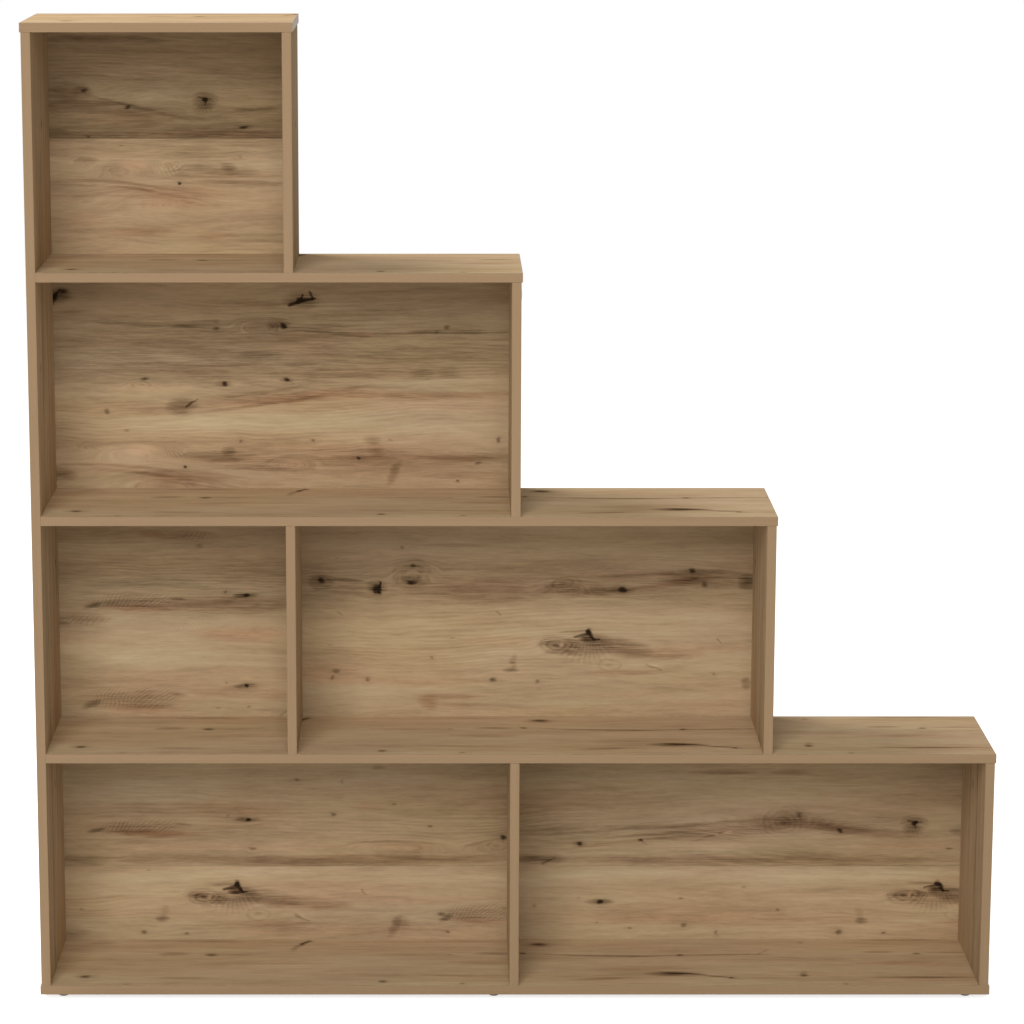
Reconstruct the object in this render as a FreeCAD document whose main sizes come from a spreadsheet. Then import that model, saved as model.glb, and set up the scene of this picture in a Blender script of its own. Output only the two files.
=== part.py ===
import FreeCAD, Part
import math
import os
from types import SimpleNamespace

import Sketcher

# Open book cabinet of four tiers, stepped down to the right. X runs to the right, Y from the front
# to the back and Z up. The origin is on the floor, under the middle of the cabinet.

# Driving dimensions in millimetres
SIZES = {
    # Boards of faced chipboard, with a strip of edging on every edge that shows
    "board_thickness": 15.0,
    "board_depth": 237.0,
    "edging_thickness": 1.0,
    "edging_radius": 0.8,
    # Each lower tier reaches one step further to the right than the tier above
    "top_length": 424.0,
    "second_tier_step": 359.0,
    "third_tier_step": 408.0,
    "bottom_tier_step": 359.0,
    "end_overhang": 2.0,
    "tier_clear_height": 376.0,
    # Back panels: one thin sheet for each tier, nailed on from behind
    "back_thickness": 3.0,
    "back_inset": 2.0,
    "back_joint_gap": 1.0,
    "nail_length": 20.0,
    "nail_radius": 0.7,
    "nail_head_radius": 1.75,
    "nail_head_height": 0.5,
    "nail_point_length": 2.0,
    "nail_edge_distance": 4.0,
    "nail_corner_distance": 60.0,
    "nail_pitch": 200.0,
    # Feet under the base board, each held by a screw in its recess
    "foot_height": 11.0,
    "foot_radius": 9.0,
    "foot_rounding": 3.0,
    "foot_recess_radius": 4.5,
    "foot_recess_depth": 7.0,
    "foot_end_inset": 35.0,
    "foot_edge_inset": 32.0,
    "middle_foot_gap": 25.0,
    "foot_screw_radius": 2.0,
    "foot_screw_head_radius": 3.5,
    "foot_screw_head_height": 2.5,
    "foot_screw_point_length": 3.0,
    # Cam fittings: a bolt in one board's face is gripped by a cam in the other board's end
    "fitting_inset": 37.0,
    "cam_setback": 24.0,
    "cam_bore_radius": 7.5,
    "cam_floor": 3.0,
    "cam_sink": 0.2,
    "cam_slot_width": 7.2,
    "cam_slot_reach": 4.0,
    "cam_socket_radius": 2.5,
    "cam_socket_depth": 2.5,
    "bolt_bore_radius": 4.0,
    "bolt_thread_radius": 2.5,
    "bolt_collar_radius": 3.5,
    "bolt_collar_height": 1.5,
    "bolt_shank_radius": 3.0,
    "bolt_neck_radius": 1.75,
    "bolt_neck_length": 5.0,
    "bolt_head_radius": 3.0,
    "bolt_head_length": 5.0,
    "bolt_head_bevel": 0.8,
    "cover_radius": 8.5,
    "cover_thickness": 1.0,
    "cover_bevel": 0.4,
    "cover_pin_length": 1.8,
    # Wooden dowels beside the cam fittings
    "dowel_pitch": 32.0,
    "dowel_radius": 4.0,
    "dowel_end_depth": 20.0,
    "dowel_bevel": 1.0,
    # Screws driven up through the base board into the panels that stand on it
    "screw_length": 50.0,
    "screw_head_radius": 5.0,
    "screw_head_height": 2.0,
    "screw_taper_height": 2.0,
    "screw_shoulder_radius": 3.5,
    "screw_thread_radius": 2.5,
    "screw_point_length": 4.0,
    "screw_socket_radius": 2.3,
    "screw_socket_depth": 3.0,
    # Room round fittings in their bores, and what a blind bore leaves of the board
    "fit_clearance": 0.1,
    "bore_end_gap": 0.5,
    "bore_skin": 4.0,
}

doc = FreeCAD.newDocument("BookCabinet")
sheet = doc.addObject("Spreadsheet::Sheet", "Sizes")
for row, (alias, number) in enumerate(SIZES.items(), start=1):
    sheet.set("A%d" % row, alias.replace("_", " "))
    sheet.set("B%d" % row, str(number))
    sheet.setAlias("B%d" % row, alias)
doc.recompute()


class Size:
    """A length that follows the sheet: its expression, and what it comes to now."""

    def __init__(self, expression, value):
        self.expression = expression
        self.value = value

    def __add__(self, other):
        return Size("(%s + %s)" % (self.expression, other.expression), self.value + other.value)

    def __sub__(self, other):
        return Size("(%s - %s)" % (self.expression, other.expression), self.value - other.value)

    def __mul__(self, factor):
        return Size("(%s * %.9g)" % (self.expression, factor), self.value * factor)

    def __truediv__(self, divisor):
        return Size("(%s / %.9g)" % (self.expression, divisor), self.value / divisor)

    def __neg__(self):
        return Size("(-%s)" % self.expression, -self.value)


s = SimpleNamespace(**{alias: Size("Sizes." + alias, number) for alias, number in SIZES.items()})
ZERO = Size("0", 0.0)

# Lengths of the lying boards, from the left end of the cabinet to each right end
upper_reach = s.top_length + s.second_tier_step
middle_reach = upper_reach + s.third_tier_step
base_length = middle_reach + s.bottom_tier_step
cabinet_depth = s.board_depth + s.back_thickness

# Undersides of the lying boards above the floor, from the bottom up
tier_pitch = s.tier_clear_height + s.board_thickness
base_z = s.foot_height
lower_z = base_z + tier_pitch
middle_z = lower_z + tier_pitch
upper_z = middle_z + tier_pitch
top_z = upper_z + tier_pitch

# Left faces of the standing boards, from the left end of the cabinet
side_x = s.end_overhang
shelf_x = side_x + s.board_thickness
top_end_x = s.top_length - s.end_overhang - s.board_thickness
second_end_x = upper_reach - s.end_overhang - s.board_thickness
third_end_x = middle_reach - s.end_overhang - s.board_thickness
bottom_end_x = base_length - s.end_overhang - s.board_thickness

# Rows of fittings across the depth of the boards, and the depths of blind bores
half_board = s.board_thickness / 2
cam_rows = [s.fitting_inset, s.board_depth - s.fitting_inset]
dowel_rows = [s.fitting_inset + s.dowel_pitch, s.board_depth - s.fitting_inset - s.dowel_pitch]
cam_bore_depth = s.board_thickness - s.cam_floor
face_bore_depth = s.board_thickness - s.bore_skin
end_bore_depth = s.dowel_end_depth
screw_bore_depth = s.screw_length - s.board_thickness + s.bore_end_gap
nail_bore_depth = s.nail_length - s.back_thickness + s.bore_end_gap

# Origin plane, side of it and pocket direction for a bore in each face of a board
FACES = {
    "left": ("YZ_Plane", None, True),
    "right": ("YZ_Plane", "size_x", False),
    "back": ("XZ_Plane", "size_y", True),
    "bottom": ("XY_Plane", None, True),
    "top": ("XY_Plane", "size_z", False),
}

nodes = []


def bind(thing, path, size):
    thing.setExpression(path, size.expression)


def place(thing, x, y, z):
    """Put an object where the cabinet's left, front and floor distances say."""
    bind(thing, "Placement.Base.x", x - base_length / 2)
    bind(thing, "Placement.Base.y", y - cabinet_depth / 2)
    bind(thing, "Placement.Base.z", z)


def node(thing):
    nodes.append(thing)
    return thing


def new_body(label):
    body = doc.addObject("PartDesign::Body", label)
    body.Label = label
    return body


def new_sketch(body, name, role, shift_u=None, shift_v=None, offset=None):
    """A sketch on one of the body's origin planes, moved along it or off it where asked."""
    sketch = body.newObject("Sketcher::SketchObject", name)
    plane = next(feature for feature in body.Origin.OriginFeatures if feature.Role == role)
    sketch.AttachmentSupport = [(plane, "")]
    sketch.MapMode = "FlatFace"
    for axis, size in (("x", shift_u), ("y", shift_v), ("z", offset)):
        if size is not None:
            bind(sketch, "AttachmentOffset.Base." + axis, size)
    return sketch


def constrain(sketch, kind, elements, size):
    index = sketch.addConstraint(Sketcher.Constraint(kind, *elements, size.value))
    bind(sketch, "Constraints[%d]" % index, size)


def draw_rectangle(sketch, width, height):
    """A rectangle whose first corner is the sketch's origin."""
    corners = [(0, 0), (width.value, 0), (width.value, height.value), (0, height.value)]
    points = [FreeCAD.Vector(u, v, 0) for u, v in corners]
    for start, end in zip(points, points[1:] + points[:1]):
        sketch.addGeometry(Part.LineSegment(start, end))
    for line in range(4):
        sketch.addConstraint(Sketcher.Constraint("Coincident", line, 2, (line + 1) % 4, 1))
    for line in (0, 2):
        sketch.addConstraint(Sketcher.Constraint("Horizontal", line))
    for line in (1, 3):
        sketch.addConstraint(Sketcher.Constraint("Vertical", line))
    sketch.addConstraint(Sketcher.Constraint("Coincident", 0, 1, -1, 1))
    constrain(sketch, "DistanceX", (0, 1, 0, 2), width)
    constrain(sketch, "DistanceY", (1, 1, 1, 2), height)


def draw_circles(sketch, places, radius):
    """Circles at distances from the sketch's origin; a distance of zero keeps them on its axis."""
    for u, v in places:
        centre = FreeCAD.Vector(u.value, v.value, 0)
        circle = sketch.addGeometry(Part.Circle(centre, FreeCAD.Vector(0, 0, 1), radius.value))
        constrain(sketch, "Radius", (circle,), radius)
        constrain(sketch, "DistanceX", (-1, 1, circle, 3), u)
        constrain(sketch, "DistanceY", (-1, 1, circle, 3), v)


def pad(body, name, sketch, length):
    feature = body.newObject("PartDesign::Pad", name)
    feature.Profile = sketch
    bind(feature, "Length", length)
    doc.recompute()
    return feature


def pocket(body, name, sketch, depth, backwards=False, both_ways=False):
    """Cut a sketch into the body, and make sure that it takes material away."""
    volume_before = body.Shape.Volume
    feature = body.newObject("PartDesign::Pocket", name)
    feature.Profile = sketch
    feature.Reversed = backwards
    feature.Midplane = both_ways
    bind(feature, "Length", depth)
    doc.recompute()
    if not body.Shape.Volume < volume_before:
        raise RuntimeError("%s cuts nothing from %s" % (name, body.Label))
    return feature


def edges_between(shape, box, pairs):
    """Names of a box's edges, each given by the two sides that meet in it."""
    names = []
    sides = {"left": ("x", 0), "right": ("x", 1), "front": ("y", 0), "back": ("y", 1),
             "bottom": ("z", 0), "top": ("z", 1)}
    for pair in pairs:
        target = {"x": 0.5, "y": 0.5, "z": 0.5}
        for side in pair:
            axis, end = sides[side]
            target[axis] = end
        point = FreeCAD.Vector(box.XMin + box.XLength * target["x"],
                               box.YMin + box.YLength * target["y"],
                               box.ZMin + box.ZLength * target["z"])
        nearest = min(range(len(shape.Edges)),
                      key=lambda index: shape.Edges[index].CenterOfMass.distanceToPoint(point))
        names.append("Edge%d" % (nearest + 1))
    return names


def edging_strip(label, start, size, rounded):
    """One glued strip of edging: a bar whose outer edges are rounded."""
    body = new_body(label)
    sketch = new_sketch(body, "outline", "XY_Plane", shift_u=start[0], shift_v=start[1])
    draw_rectangle(sketch, size[0], size[1])
    bar = pad(body, "strip", sketch, size[2])
    rounding = body.newObject("PartDesign::Fillet", "rounded_edges")
    rounding.Base = (bar, edges_between(bar.Shape, bar.Shape.BoundBox, rounded))
    bind(rounding, "Radius", s.edging_radius)
    doc.recompute()
    return body


def board(label, x, z, size_x, size_z, free_ends=()):
    """A board with its edging. A lying board's free ends, left or right, are edged too."""
    board_depth = s.board_depth
    strip = s.edging_thickness
    lying = size_z is s.board_thickness
    core_start = strip if "left" in free_ends else ZERO
    core_length = size_x - core_start
    if "right" in free_ends:
        core_length = core_length - strip
    body = new_body(label)
    outline = new_sketch(body, "outline", "XY_Plane", shift_u=core_start, shift_v=strip)
    draw_rectangle(outline, core_length, board_depth - strip)
    pad(body, "board", outline, size_z)
    place(body, x, ZERO, z)

    corners = [("front", "top"), ("front", "bottom")] if lying else [("front", "left"), ("front", "right")]
    corners += [("front", end) for end in free_ends]
    strips = [edging_strip(label + "_front_strip", (ZERO, ZERO), (size_x, strip, size_z), corners)]
    for end in free_ends:
        start = ZERO if end == "left" else size_x - strip
        strips.append(edging_strip("%s_%s_strip" % (label, end), (start, strip),
                                   (strip, board_depth - strip, size_z), [(end, "top"), (end, "bottom")]))
    for piece in strips:
        place(piece, x, ZERO, z)
    edging = doc.addObject("Part::Compound", label + "_edging")
    edging.Label = label + "_edging"
    edging.Links = strips
    node(body)
    node(edging)
    return SimpleNamespace(body=body, x=x, z=z, size_x=size_x, size_y=board_depth, size_z=size_z)


def bores(piece, name, face, places, radius, depth):
    """Round bores in one face of a board, at distances from its left, front and lower edges."""
    role, extent, backwards = FACES[face]
    offset = None
    if extent is not None:
        offset = getattr(piece, extent)
        if face == "back":
            offset = -offset
    sketch = new_sketch(piece.body, name + "_bore_places", role, offset=offset)
    draw_circles(sketch, places, radius)
    pocket(piece.body, name + "_bores", sketch, depth, backwards=backwards)


def turned(label, sections):
    """A round piece along Z, from stacked sections of (start, end, radius there, radius here)."""
    parts = []
    for number, (start, end, start_radius, end_radius) in enumerate(sections, start=1):
        kind = "Part::Cylinder" if start_radius is end_radius else "Part::Cone"
        section = doc.addObject(kind, "%s_section_%d" % (label, number))
        if kind == "Part::Cylinder":
            bind(section, "Radius", start_radius)
        else:
            bind(section, "Radius1", start_radius)
            bind(section, "Radius2", end_radius)
        bind(section, "Height", end - start)
        bind(section, "Placement.Base.z", start)
        parts.append(section)
    whole = doc.addObject("Part::MultiFuse", label)
    whole.Label = label
    whole.Shapes = parts
    doc.recompute()
    return whole


def copies(label, master, places):
    """One node of like pieces: the master piece again at each place, turned as the place says."""
    links = []
    for number, (x, y, z, rotation) in enumerate(places, start=1):
        link = doc.addObject("App::Link", "%s_%d" % (label, number))
        link.setLink(master)
        link.LinkTransform = False
        link.Placement = FreeCAD.Placement(FreeCAD.Vector(), rotation)
        place(link, x, y, z)
        links.append(link)
    group = doc.addObject("Part::Compound", label)
    group.Label = label
    group.Links = links
    return node(group)


# Boards
base_board = board("base_board", ZERO, base_z, base_length, s.board_thickness, ("left", "right"))
top_board = board("top_board", ZERO, top_z, s.top_length, s.board_thickness, ("left", "right"))
upper_shelf = board("upper_shelf", shelf_x, upper_z, upper_reach - shelf_x, s.board_thickness, ("right",))
middle_shelf = board("middle_shelf", shelf_x, middle_z, middle_reach - shelf_x, s.board_thickness, ("right",))
lower_shelf = board("lower_shelf", shelf_x, lower_z, base_length - shelf_x, s.board_thickness, ("right",))

tier_height = s.tier_clear_height
side_height = top_z - base_z - s.board_thickness
side_panel = board("left_side_panel", side_x, base_z + s.board_thickness, s.board_thickness, side_height)
top_end = board("top_tier_end_panel", top_end_x, upper_z + s.board_thickness, s.board_thickness, tier_height)
second_end = board("second_tier_end_panel", second_end_x, middle_z + s.board_thickness,
                   s.board_thickness, tier_height)
third_end = board("third_tier_end_panel", third_end_x, lower_z + s.board_thickness,
                  s.board_thickness, tier_height)
bottom_end = board("bottom_tier_end_panel", bottom_end_x, base_z + s.board_thickness,
                   s.board_thickness, tier_height)
third_divider = board("third_tier_divider", top_end_x, lower_z + s.board_thickness,
                      s.board_thickness, tier_height)
bottom_divider = board("bottom_tier_divider", second_end_x, base_z + s.board_thickness,
                       s.board_thickness, tier_height)

# Where cam fittings join the boards: the lying board, the standing board, the side of the lying
# board that it stands on or hangs from, and the side of the standing board that holds the cams.
# Cams are on the sides that a viewer in front of the cabinet doesn't see.
PANEL_JOINTS = [
    (top_board, side_panel, "bottom", "left"),
    (top_board, top_end, "bottom", "left"),
    (upper_shelf, top_end, "top", "left"),
    (upper_shelf, second_end, "bottom", "right"),
    (middle_shelf, second_end, "top", "right"),
    (middle_shelf, third_divider, "bottom", "left"),
    (middle_shelf, third_end, "bottom", "right"),
    (lower_shelf, third_divider, "top", "left"),
    (lower_shelf, third_end, "top", "right"),
    (lower_shelf, bottom_divider, "bottom", "right"),
    (lower_shelf, bottom_end, "bottom", "right"),
]
SCREWED_PANELS = [side_panel, bottom_divider, bottom_end]
lying_boards = {"top_board": top_board, "upper_shelf": upper_shelf,
                "middle_shelf": middle_shelf, "lower_shelf": lower_shelf}
shelves = [upper_shelf, middle_shelf, lower_shelf]

bolt_face_radius = s.bolt_thread_radius + s.fit_clearance
dowel_bore_radius = s.dowel_radius + s.fit_clearance

# Which way a fitting points: its length from the lying board's face into the panel's end, and
# its cam towards the open side of its bore
DIRECTIONS = {
    "left": FreeCAD.Vector(-1, 0, 0),
    "right": FreeCAD.Vector(1, 0, 0),
    "bottom": FreeCAD.Vector(0, 0, -1),
    "top": FreeCAD.Vector(0, 0, 1),
}


def fitting_rotation(along, cam_side):
    return FreeCAD.Rotation(cam_side, along.cross(cam_side), along, "ZXY")


# Each fitting is (interface x, interface z, rotation, side it points to), kept by lying board
fittings = {label: [] for label in lying_boards}

for lying, panel, side, cam_side in PANEL_JOINTS:
    across = panel.x + half_board
    local_x = across - lying.x
    label = lying.body.Label
    panel_end = "top" if side == "bottom" else "bottom"
    face_z = lying.z if side == "bottom" else lying.z + s.board_thickness
    cam_z = panel.size_z - s.cam_setback if panel_end == "top" else s.cam_setback
    name = panel.body.Label + "_"
    bores(lying, name + "bolts", side, [(local_x, y) for y in cam_rows], bolt_face_radius, face_bore_depth)
    bores(lying, name + "dowels", side, [(local_x, y) for y in dowel_rows], dowel_bore_radius, face_bore_depth)
    bores(panel, panel_end + "_bolts", panel_end, [(half_board, y) for y in cam_rows],
          s.bolt_bore_radius, s.cam_setback)
    bores(panel, panel_end + "_dowels", panel_end, [(half_board, y) for y in dowel_rows],
          dowel_bore_radius, end_bore_depth)
    bores(panel, panel_end + "_cams", cam_side, [(y, cam_z) for y in cam_rows],
          s.cam_bore_radius, cam_bore_depth)
    rotation = fitting_rotation(DIRECTIONS[side], DIRECTIONS[cam_side])
    fittings[label].append((across, face_z, rotation, side))

for shelf in shelves:
    height = shelf.z + half_board - side_panel.z
    name = shelf.body.Label + "_"
    bores(side_panel, name + "bolts", "right", [(y, height) for y in cam_rows],
          bolt_face_radius, face_bore_depth)
    bores(side_panel, name + "dowels", "right", [(y, height) for y in dowel_rows],
          dowel_bore_radius, face_bore_depth)
    bores(shelf, "end_bolts", "left", [(y, half_board) for y in cam_rows], s.bolt_bore_radius, s.cam_setback)
    bores(shelf, "end_dowels", "left", [(y, half_board) for y in dowel_rows],
          dowel_bore_radius, end_bore_depth)
    bores(shelf, "end_cams", "bottom", [(s.cam_setback, y) for y in cam_rows],
          s.cam_bore_radius, cam_bore_depth)
    rotation = fitting_rotation(DIRECTIONS["right"], DIRECTIONS["bottom"])
    fittings[shelf.body.Label].append((shelf.x, shelf.z + half_board, rotation, "right"))

# One cam bolt along Z, with the board's face at zero and its thread below it
head_start = s.cam_setback - s.bolt_head_length / 2
head_end = s.cam_setback + s.bolt_head_length / 2
bevel_radius = s.bolt_head_radius - s.bolt_head_bevel
cam_bolt = turned("cam_bolt", [
    (s.bore_end_gap - face_bore_depth, ZERO, s.bolt_thread_radius, s.bolt_thread_radius),
    (ZERO, s.bolt_collar_height, s.bolt_collar_radius, s.bolt_collar_radius),
    (s.bolt_collar_height, head_start - s.bolt_neck_length, s.bolt_shank_radius, s.bolt_shank_radius),
    (head_start - s.bolt_neck_length, head_start, s.bolt_neck_radius, s.bolt_neck_radius),
    (head_start, head_start + s.bolt_head_bevel, bevel_radius, s.bolt_head_radius),
    (head_start + s.bolt_head_bevel, head_end - s.bolt_head_bevel, s.bolt_head_radius, s.bolt_head_radius),
    (head_end - s.bolt_head_bevel, head_end, s.bolt_head_radius, bevel_radius),
])

# One dowel along Z, with the board's face at zero
dowel_start = s.bore_end_gap - face_bore_depth
dowel_end = end_bore_depth - s.bore_end_gap
dowel_tip_radius = s.dowel_radius - s.dowel_bevel
dowel = turned("dowel", [
    (dowel_start, dowel_start + s.dowel_bevel, dowel_tip_radius, s.dowel_radius),
    (dowel_start + s.dowel_bevel, dowel_end - s.dowel_bevel, s.dowel_radius, s.dowel_radius),
    (dowel_end - s.dowel_bevel, dowel_end, s.dowel_radius, dowel_tip_radius),
])

# One cam lock, round along X, whose slot lets the bolt's head in from below
cam_lock = new_body("cam_lock")
cam_bottom = half_board - cam_bore_depth
cam_height = cam_bore_depth - s.cam_sink
cam_radius = s.cam_bore_radius - s.fit_clearance
cam_outline = new_sketch(cam_lock, "outline", "YZ_Plane", offset=cam_bottom)
draw_circles(cam_outline, [(ZERO, ZERO)], cam_radius)
pad(cam_lock, "barrel", cam_outline, cam_height)
slot_sketch = new_sketch(cam_lock, "slot_outline", "XZ_Plane",
                         shift_u=-s.cam_slot_width / 2, shift_v=-s.cam_bore_radius)
draw_rectangle(slot_sketch, s.cam_slot_width, s.cam_bore_radius + s.cam_slot_reach)
pocket(cam_lock, "bolt_slot", slot_sketch, s.cam_slot_width, both_ways=True)
socket_sketch = new_sketch(cam_lock, "socket_outline", "YZ_Plane", offset=half_board - s.cam_sink)
draw_circles(socket_sketch, [(ZERO, ZERO)], s.cam_socket_radius)
pocket(cam_lock, "driver_socket", socket_sketch, s.cam_socket_depth)

# One cover along Z, with the board's face at zero and its pin in the cam's socket below it
cover_pin_radius = s.cam_socket_radius - s.fit_clearance
cover_top_radius = s.cover_radius - s.cover_bevel
cover = turned("cam_cover", [
    (-(s.cam_sink + s.cover_pin_length), ZERO, cover_pin_radius, cover_pin_radius),
    (ZERO, s.cover_thickness - s.cover_bevel, s.cover_radius, s.cover_radius),
    (s.cover_thickness - s.cover_bevel, s.cover_thickness, s.cover_radius, cover_top_radius),
])

# Fittings of each lying board
for label, joints in fittings.items():
    bolts = []
    dowels = []
    cams = []
    covers = []
    for x, z, rotation, along in joints:
        cam_x = x + s.cam_setback if along == "right" else x
        cam_z = {"right": z, "bottom": z - s.cam_setback, "top": z + s.cam_setback}[along]
        outward = rotation.multVec(FreeCAD.Vector(1, 0, 0))
        face_x = cam_x + half_board * round(outward.x)
        face_z = cam_z + half_board * round(outward.z)
        cover_rotation = FreeCAD.Rotation(FreeCAD.Vector(0, 0, 1), outward)
        for y in cam_rows:
            bolts.append((x, y, z, rotation))
            cams.append((cam_x, y, cam_z, rotation))
            covers.append((face_x, y, face_z, cover_rotation))
        for y in dowel_rows:
            dowels.append((x, y, z, rotation))
    copies(label + "_cam_bolts", cam_bolt, bolts)
    copies(label + "_cam_locks", cam_lock, cams)
    copies(label + "_cam_covers", cover, covers)
    copies(label + "_dowels", dowel, dowels)

# Screws up through the base board: one along Z, with the base board's underside at zero
head_top = s.bore_end_gap + s.screw_head_height
taper_top = head_top + s.screw_taper_height
screw_tip_radius = s.screw_thread_radius / 2
screw_solid = turned("base_screw_blank", [
    (s.bore_end_gap, head_top, s.screw_head_radius, s.screw_head_radius),
    (head_top, taper_top, s.screw_head_radius, s.screw_shoulder_radius),
    (taper_top, s.board_thickness, s.screw_shoulder_radius, s.screw_shoulder_radius),
    (s.board_thickness, s.screw_length - s.screw_point_length, s.screw_thread_radius, s.screw_thread_radius),
    (s.screw_length - s.screw_point_length, s.screw_length, s.screw_thread_radius, screw_tip_radius),
])
screw_socket = doc.addObject("Part::Prism", "base_screw_socket")
screw_socket.Polygon = 6
bind(screw_socket, "Circumradius", s.screw_socket_radius)
bind(screw_socket, "Height", s.screw_socket_depth)
bind(screw_socket, "Placement.Base.z", s.bore_end_gap)
base_screw = doc.addObject("Part::Cut", "base_screw")
base_screw.Base = screw_solid
base_screw.Tool = screw_socket
doc.recompute()

upright = FreeCAD.Rotation()
screw_places = []
for panel in SCREWED_PANELS:
    across = panel.x + half_board
    name = panel.body.Label + "_screws"
    bores(base_board, name, "bottom", [(across, y) for y in cam_rows],
          s.screw_shoulder_radius + s.fit_clearance, s.board_thickness)
    bores(base_board, name + "_heads", "bottom", [(across, y) for y in cam_rows],
          s.screw_head_radius + s.fit_clearance, taper_top)
    bores(panel, "base_screws", "bottom", [(half_board, y) for y in cam_rows],
          s.screw_thread_radius + s.fit_clearance, screw_bore_depth)
    screw_places += [(across, y, base_z, upright) for y in cam_rows]
copies("base_screws", base_screw, screw_places)

# Feet and their screws
foot_screw_reach = face_bore_depth - s.bore_end_gap
foot_screw_shoulder = s.foot_recess_depth - s.foot_height
foot_screw = turned("foot_screw", [
    (foot_screw_shoulder - s.foot_screw_head_height, foot_screw_shoulder,
     s.foot_screw_head_radius, s.foot_screw_head_radius),
    (foot_screw_shoulder, foot_screw_reach - s.foot_screw_point_length,
     s.foot_screw_radius, s.foot_screw_radius),
    (foot_screw_reach - s.foot_screw_point_length, foot_screw_reach,
     s.foot_screw_radius, s.foot_screw_radius / 2),
])

foot_columns = {
    "left": s.foot_end_inset,
    "middle": second_end_x - s.middle_foot_gap,
    "right": base_length - s.foot_end_inset,
}
foot_rows = {"front": s.foot_edge_inset, "rear": s.board_depth - s.foot_edge_inset}
foot_places = []
for row_name, y in foot_rows.items():
    for column_name, x in foot_columns.items():
        foot = node(new_body("%s_%s_foot" % (row_name, column_name)))
        foot_outline = new_sketch(foot, "outline", "XY_Plane")
        draw_circles(foot_outline, [(ZERO, ZERO)], s.foot_radius)
        puck = pad(foot, "puck", foot_outline, s.foot_height)
        rim = next("Edge%d" % number for number, edge in enumerate(puck.Shape.Edges, start=1)
                   if len(edge.Vertexes) == 1 and abs(edge.BoundBox.ZMax) < s.foot_height.value / 2)
        rounding = foot.newObject("PartDesign::Fillet", "rounded_rim")
        rounding.Base = (puck, [rim])
        bind(rounding, "Radius", s.foot_rounding)
        doc.recompute()
        recess = new_sketch(foot, "recess_outline", "XY_Plane")
        draw_circles(recess, [(ZERO, ZERO)], s.foot_recess_radius)
        pocket(foot, "recess", recess, s.foot_recess_depth, backwards=True)
        hole = new_sketch(foot, "hole_outline", "XY_Plane")
        draw_circles(hole, [(ZERO, ZERO)], s.foot_screw_radius + s.fit_clearance)
        pocket(foot, "screw_hole", hole, s.foot_height, backwards=True)
        place(foot, x, y, ZERO)
        foot_places.append((x, y))
bores(base_board, "foot_screws", "bottom", foot_places, s.foot_screw_radius + s.fit_clearance, face_bore_depth)
copies("foot_screws", foot_screw, [(x, y, base_z, upright) for x, y in foot_places])

# One nail along Z, with its head's outer side at zero
nail_tip_radius = s.nail_radius / 4
nail = turned("nail", [
    (-s.nail_length, s.nail_point_length - s.nail_length, nail_tip_radius, s.nail_radius),
    (s.nail_point_length - s.nail_length, -s.nail_head_height, s.nail_radius, s.nail_radius),
    (-s.nail_head_height, ZERO, s.nail_head_radius, s.nail_head_radius),
])
nail_rotation = FreeCAD.Rotation(FreeCAD.Vector(0, 0, 1), FreeCAD.Vector(0, 1, 0))
nail_bore_radius = s.nail_radius + s.fit_clearance


def spread(start, end):
    """Places from start to end, evenly spaced and no further apart than the nails' pitch."""
    gaps = max(1, math.ceil((end - start).value / s.nail_pitch.value))
    return [start + (end - start) * (number / gaps) for number in range(gaps + 1)]


# Each tier's back panel: the boards below and above it, and the panels that it covers
TIERS = {
    "top_tier": (upper_shelf, top_board, [side_panel, top_end]),
    "second_tier": (middle_shelf, upper_shelf, [side_panel, second_end]),
    "third_tier": (lower_shelf, middle_shelf, [side_panel, third_divider, third_end]),
    "bottom_tier": (base_board, lower_shelf, [side_panel, bottom_divider, bottom_end]),
}
half_gap = s.back_joint_gap / 2
board_nails = {}
for tier, (below, above, panels) in TIERS.items():
    left = side_x + s.back_inset
    right = panels[-1].x + s.board_thickness - s.back_inset
    bottom = below.z + s.back_inset if below is base_board else below.z + half_board + half_gap
    top = above.z + s.board_thickness - s.back_inset if above is top_board else above.z + half_board - half_gap

    sheet_body = node(new_body(tier + "_back_panel"))
    outline = new_sketch(sheet_body, "outline", "XY_Plane")
    draw_rectangle(outline, right - left, s.back_thickness)
    pad(sheet_body, "sheet", outline, top - bottom)
    place(sheet_body, left, s.board_depth, bottom)
    back = SimpleNamespace(body=sheet_body, size_y=s.back_thickness)

    columns = spread(left + s.nail_corner_distance, right - s.nail_corner_distance)
    rows = spread(bottom + s.nail_corner_distance, top - s.nail_corner_distance)
    low_row = bottom + s.nail_edge_distance
    high_row = top - s.nail_edge_distance
    places = []
    for x in columns:
        places += [(below, x, low_row), (above, x, high_row)]
    for panel in panels:
        nail_x = panel.x + half_board
        if panel is panels[0]:
            nail_x = left + s.nail_edge_distance
        if panel is panels[-1]:
            nail_x = right - s.nail_edge_distance
        places += [(panel, nail_x, z) for z in rows]
    for piece, x, z in places:
        board_nails.setdefault(piece.body.Label, (piece, []))[1].append((x - piece.x, z - piece.z))

    sheet_places = [(x - left, z - bottom) for _, x, z in places]
    bores(back, "nail_holes", "back", sheet_places, nail_bore_radius, s.back_thickness)
    bores(back, "nail_heads", "back", sheet_places, s.nail_head_radius + s.fit_clearance, s.nail_head_height)
    copies(tier + "_back_nails", nail, [(x, cabinet_depth, z, nail_rotation) for _, x, z in places])

for piece, places in board_nails.values():
    bores(piece, "back_nails", "back", places, nail_bore_radius, nail_bore_depth)

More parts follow.
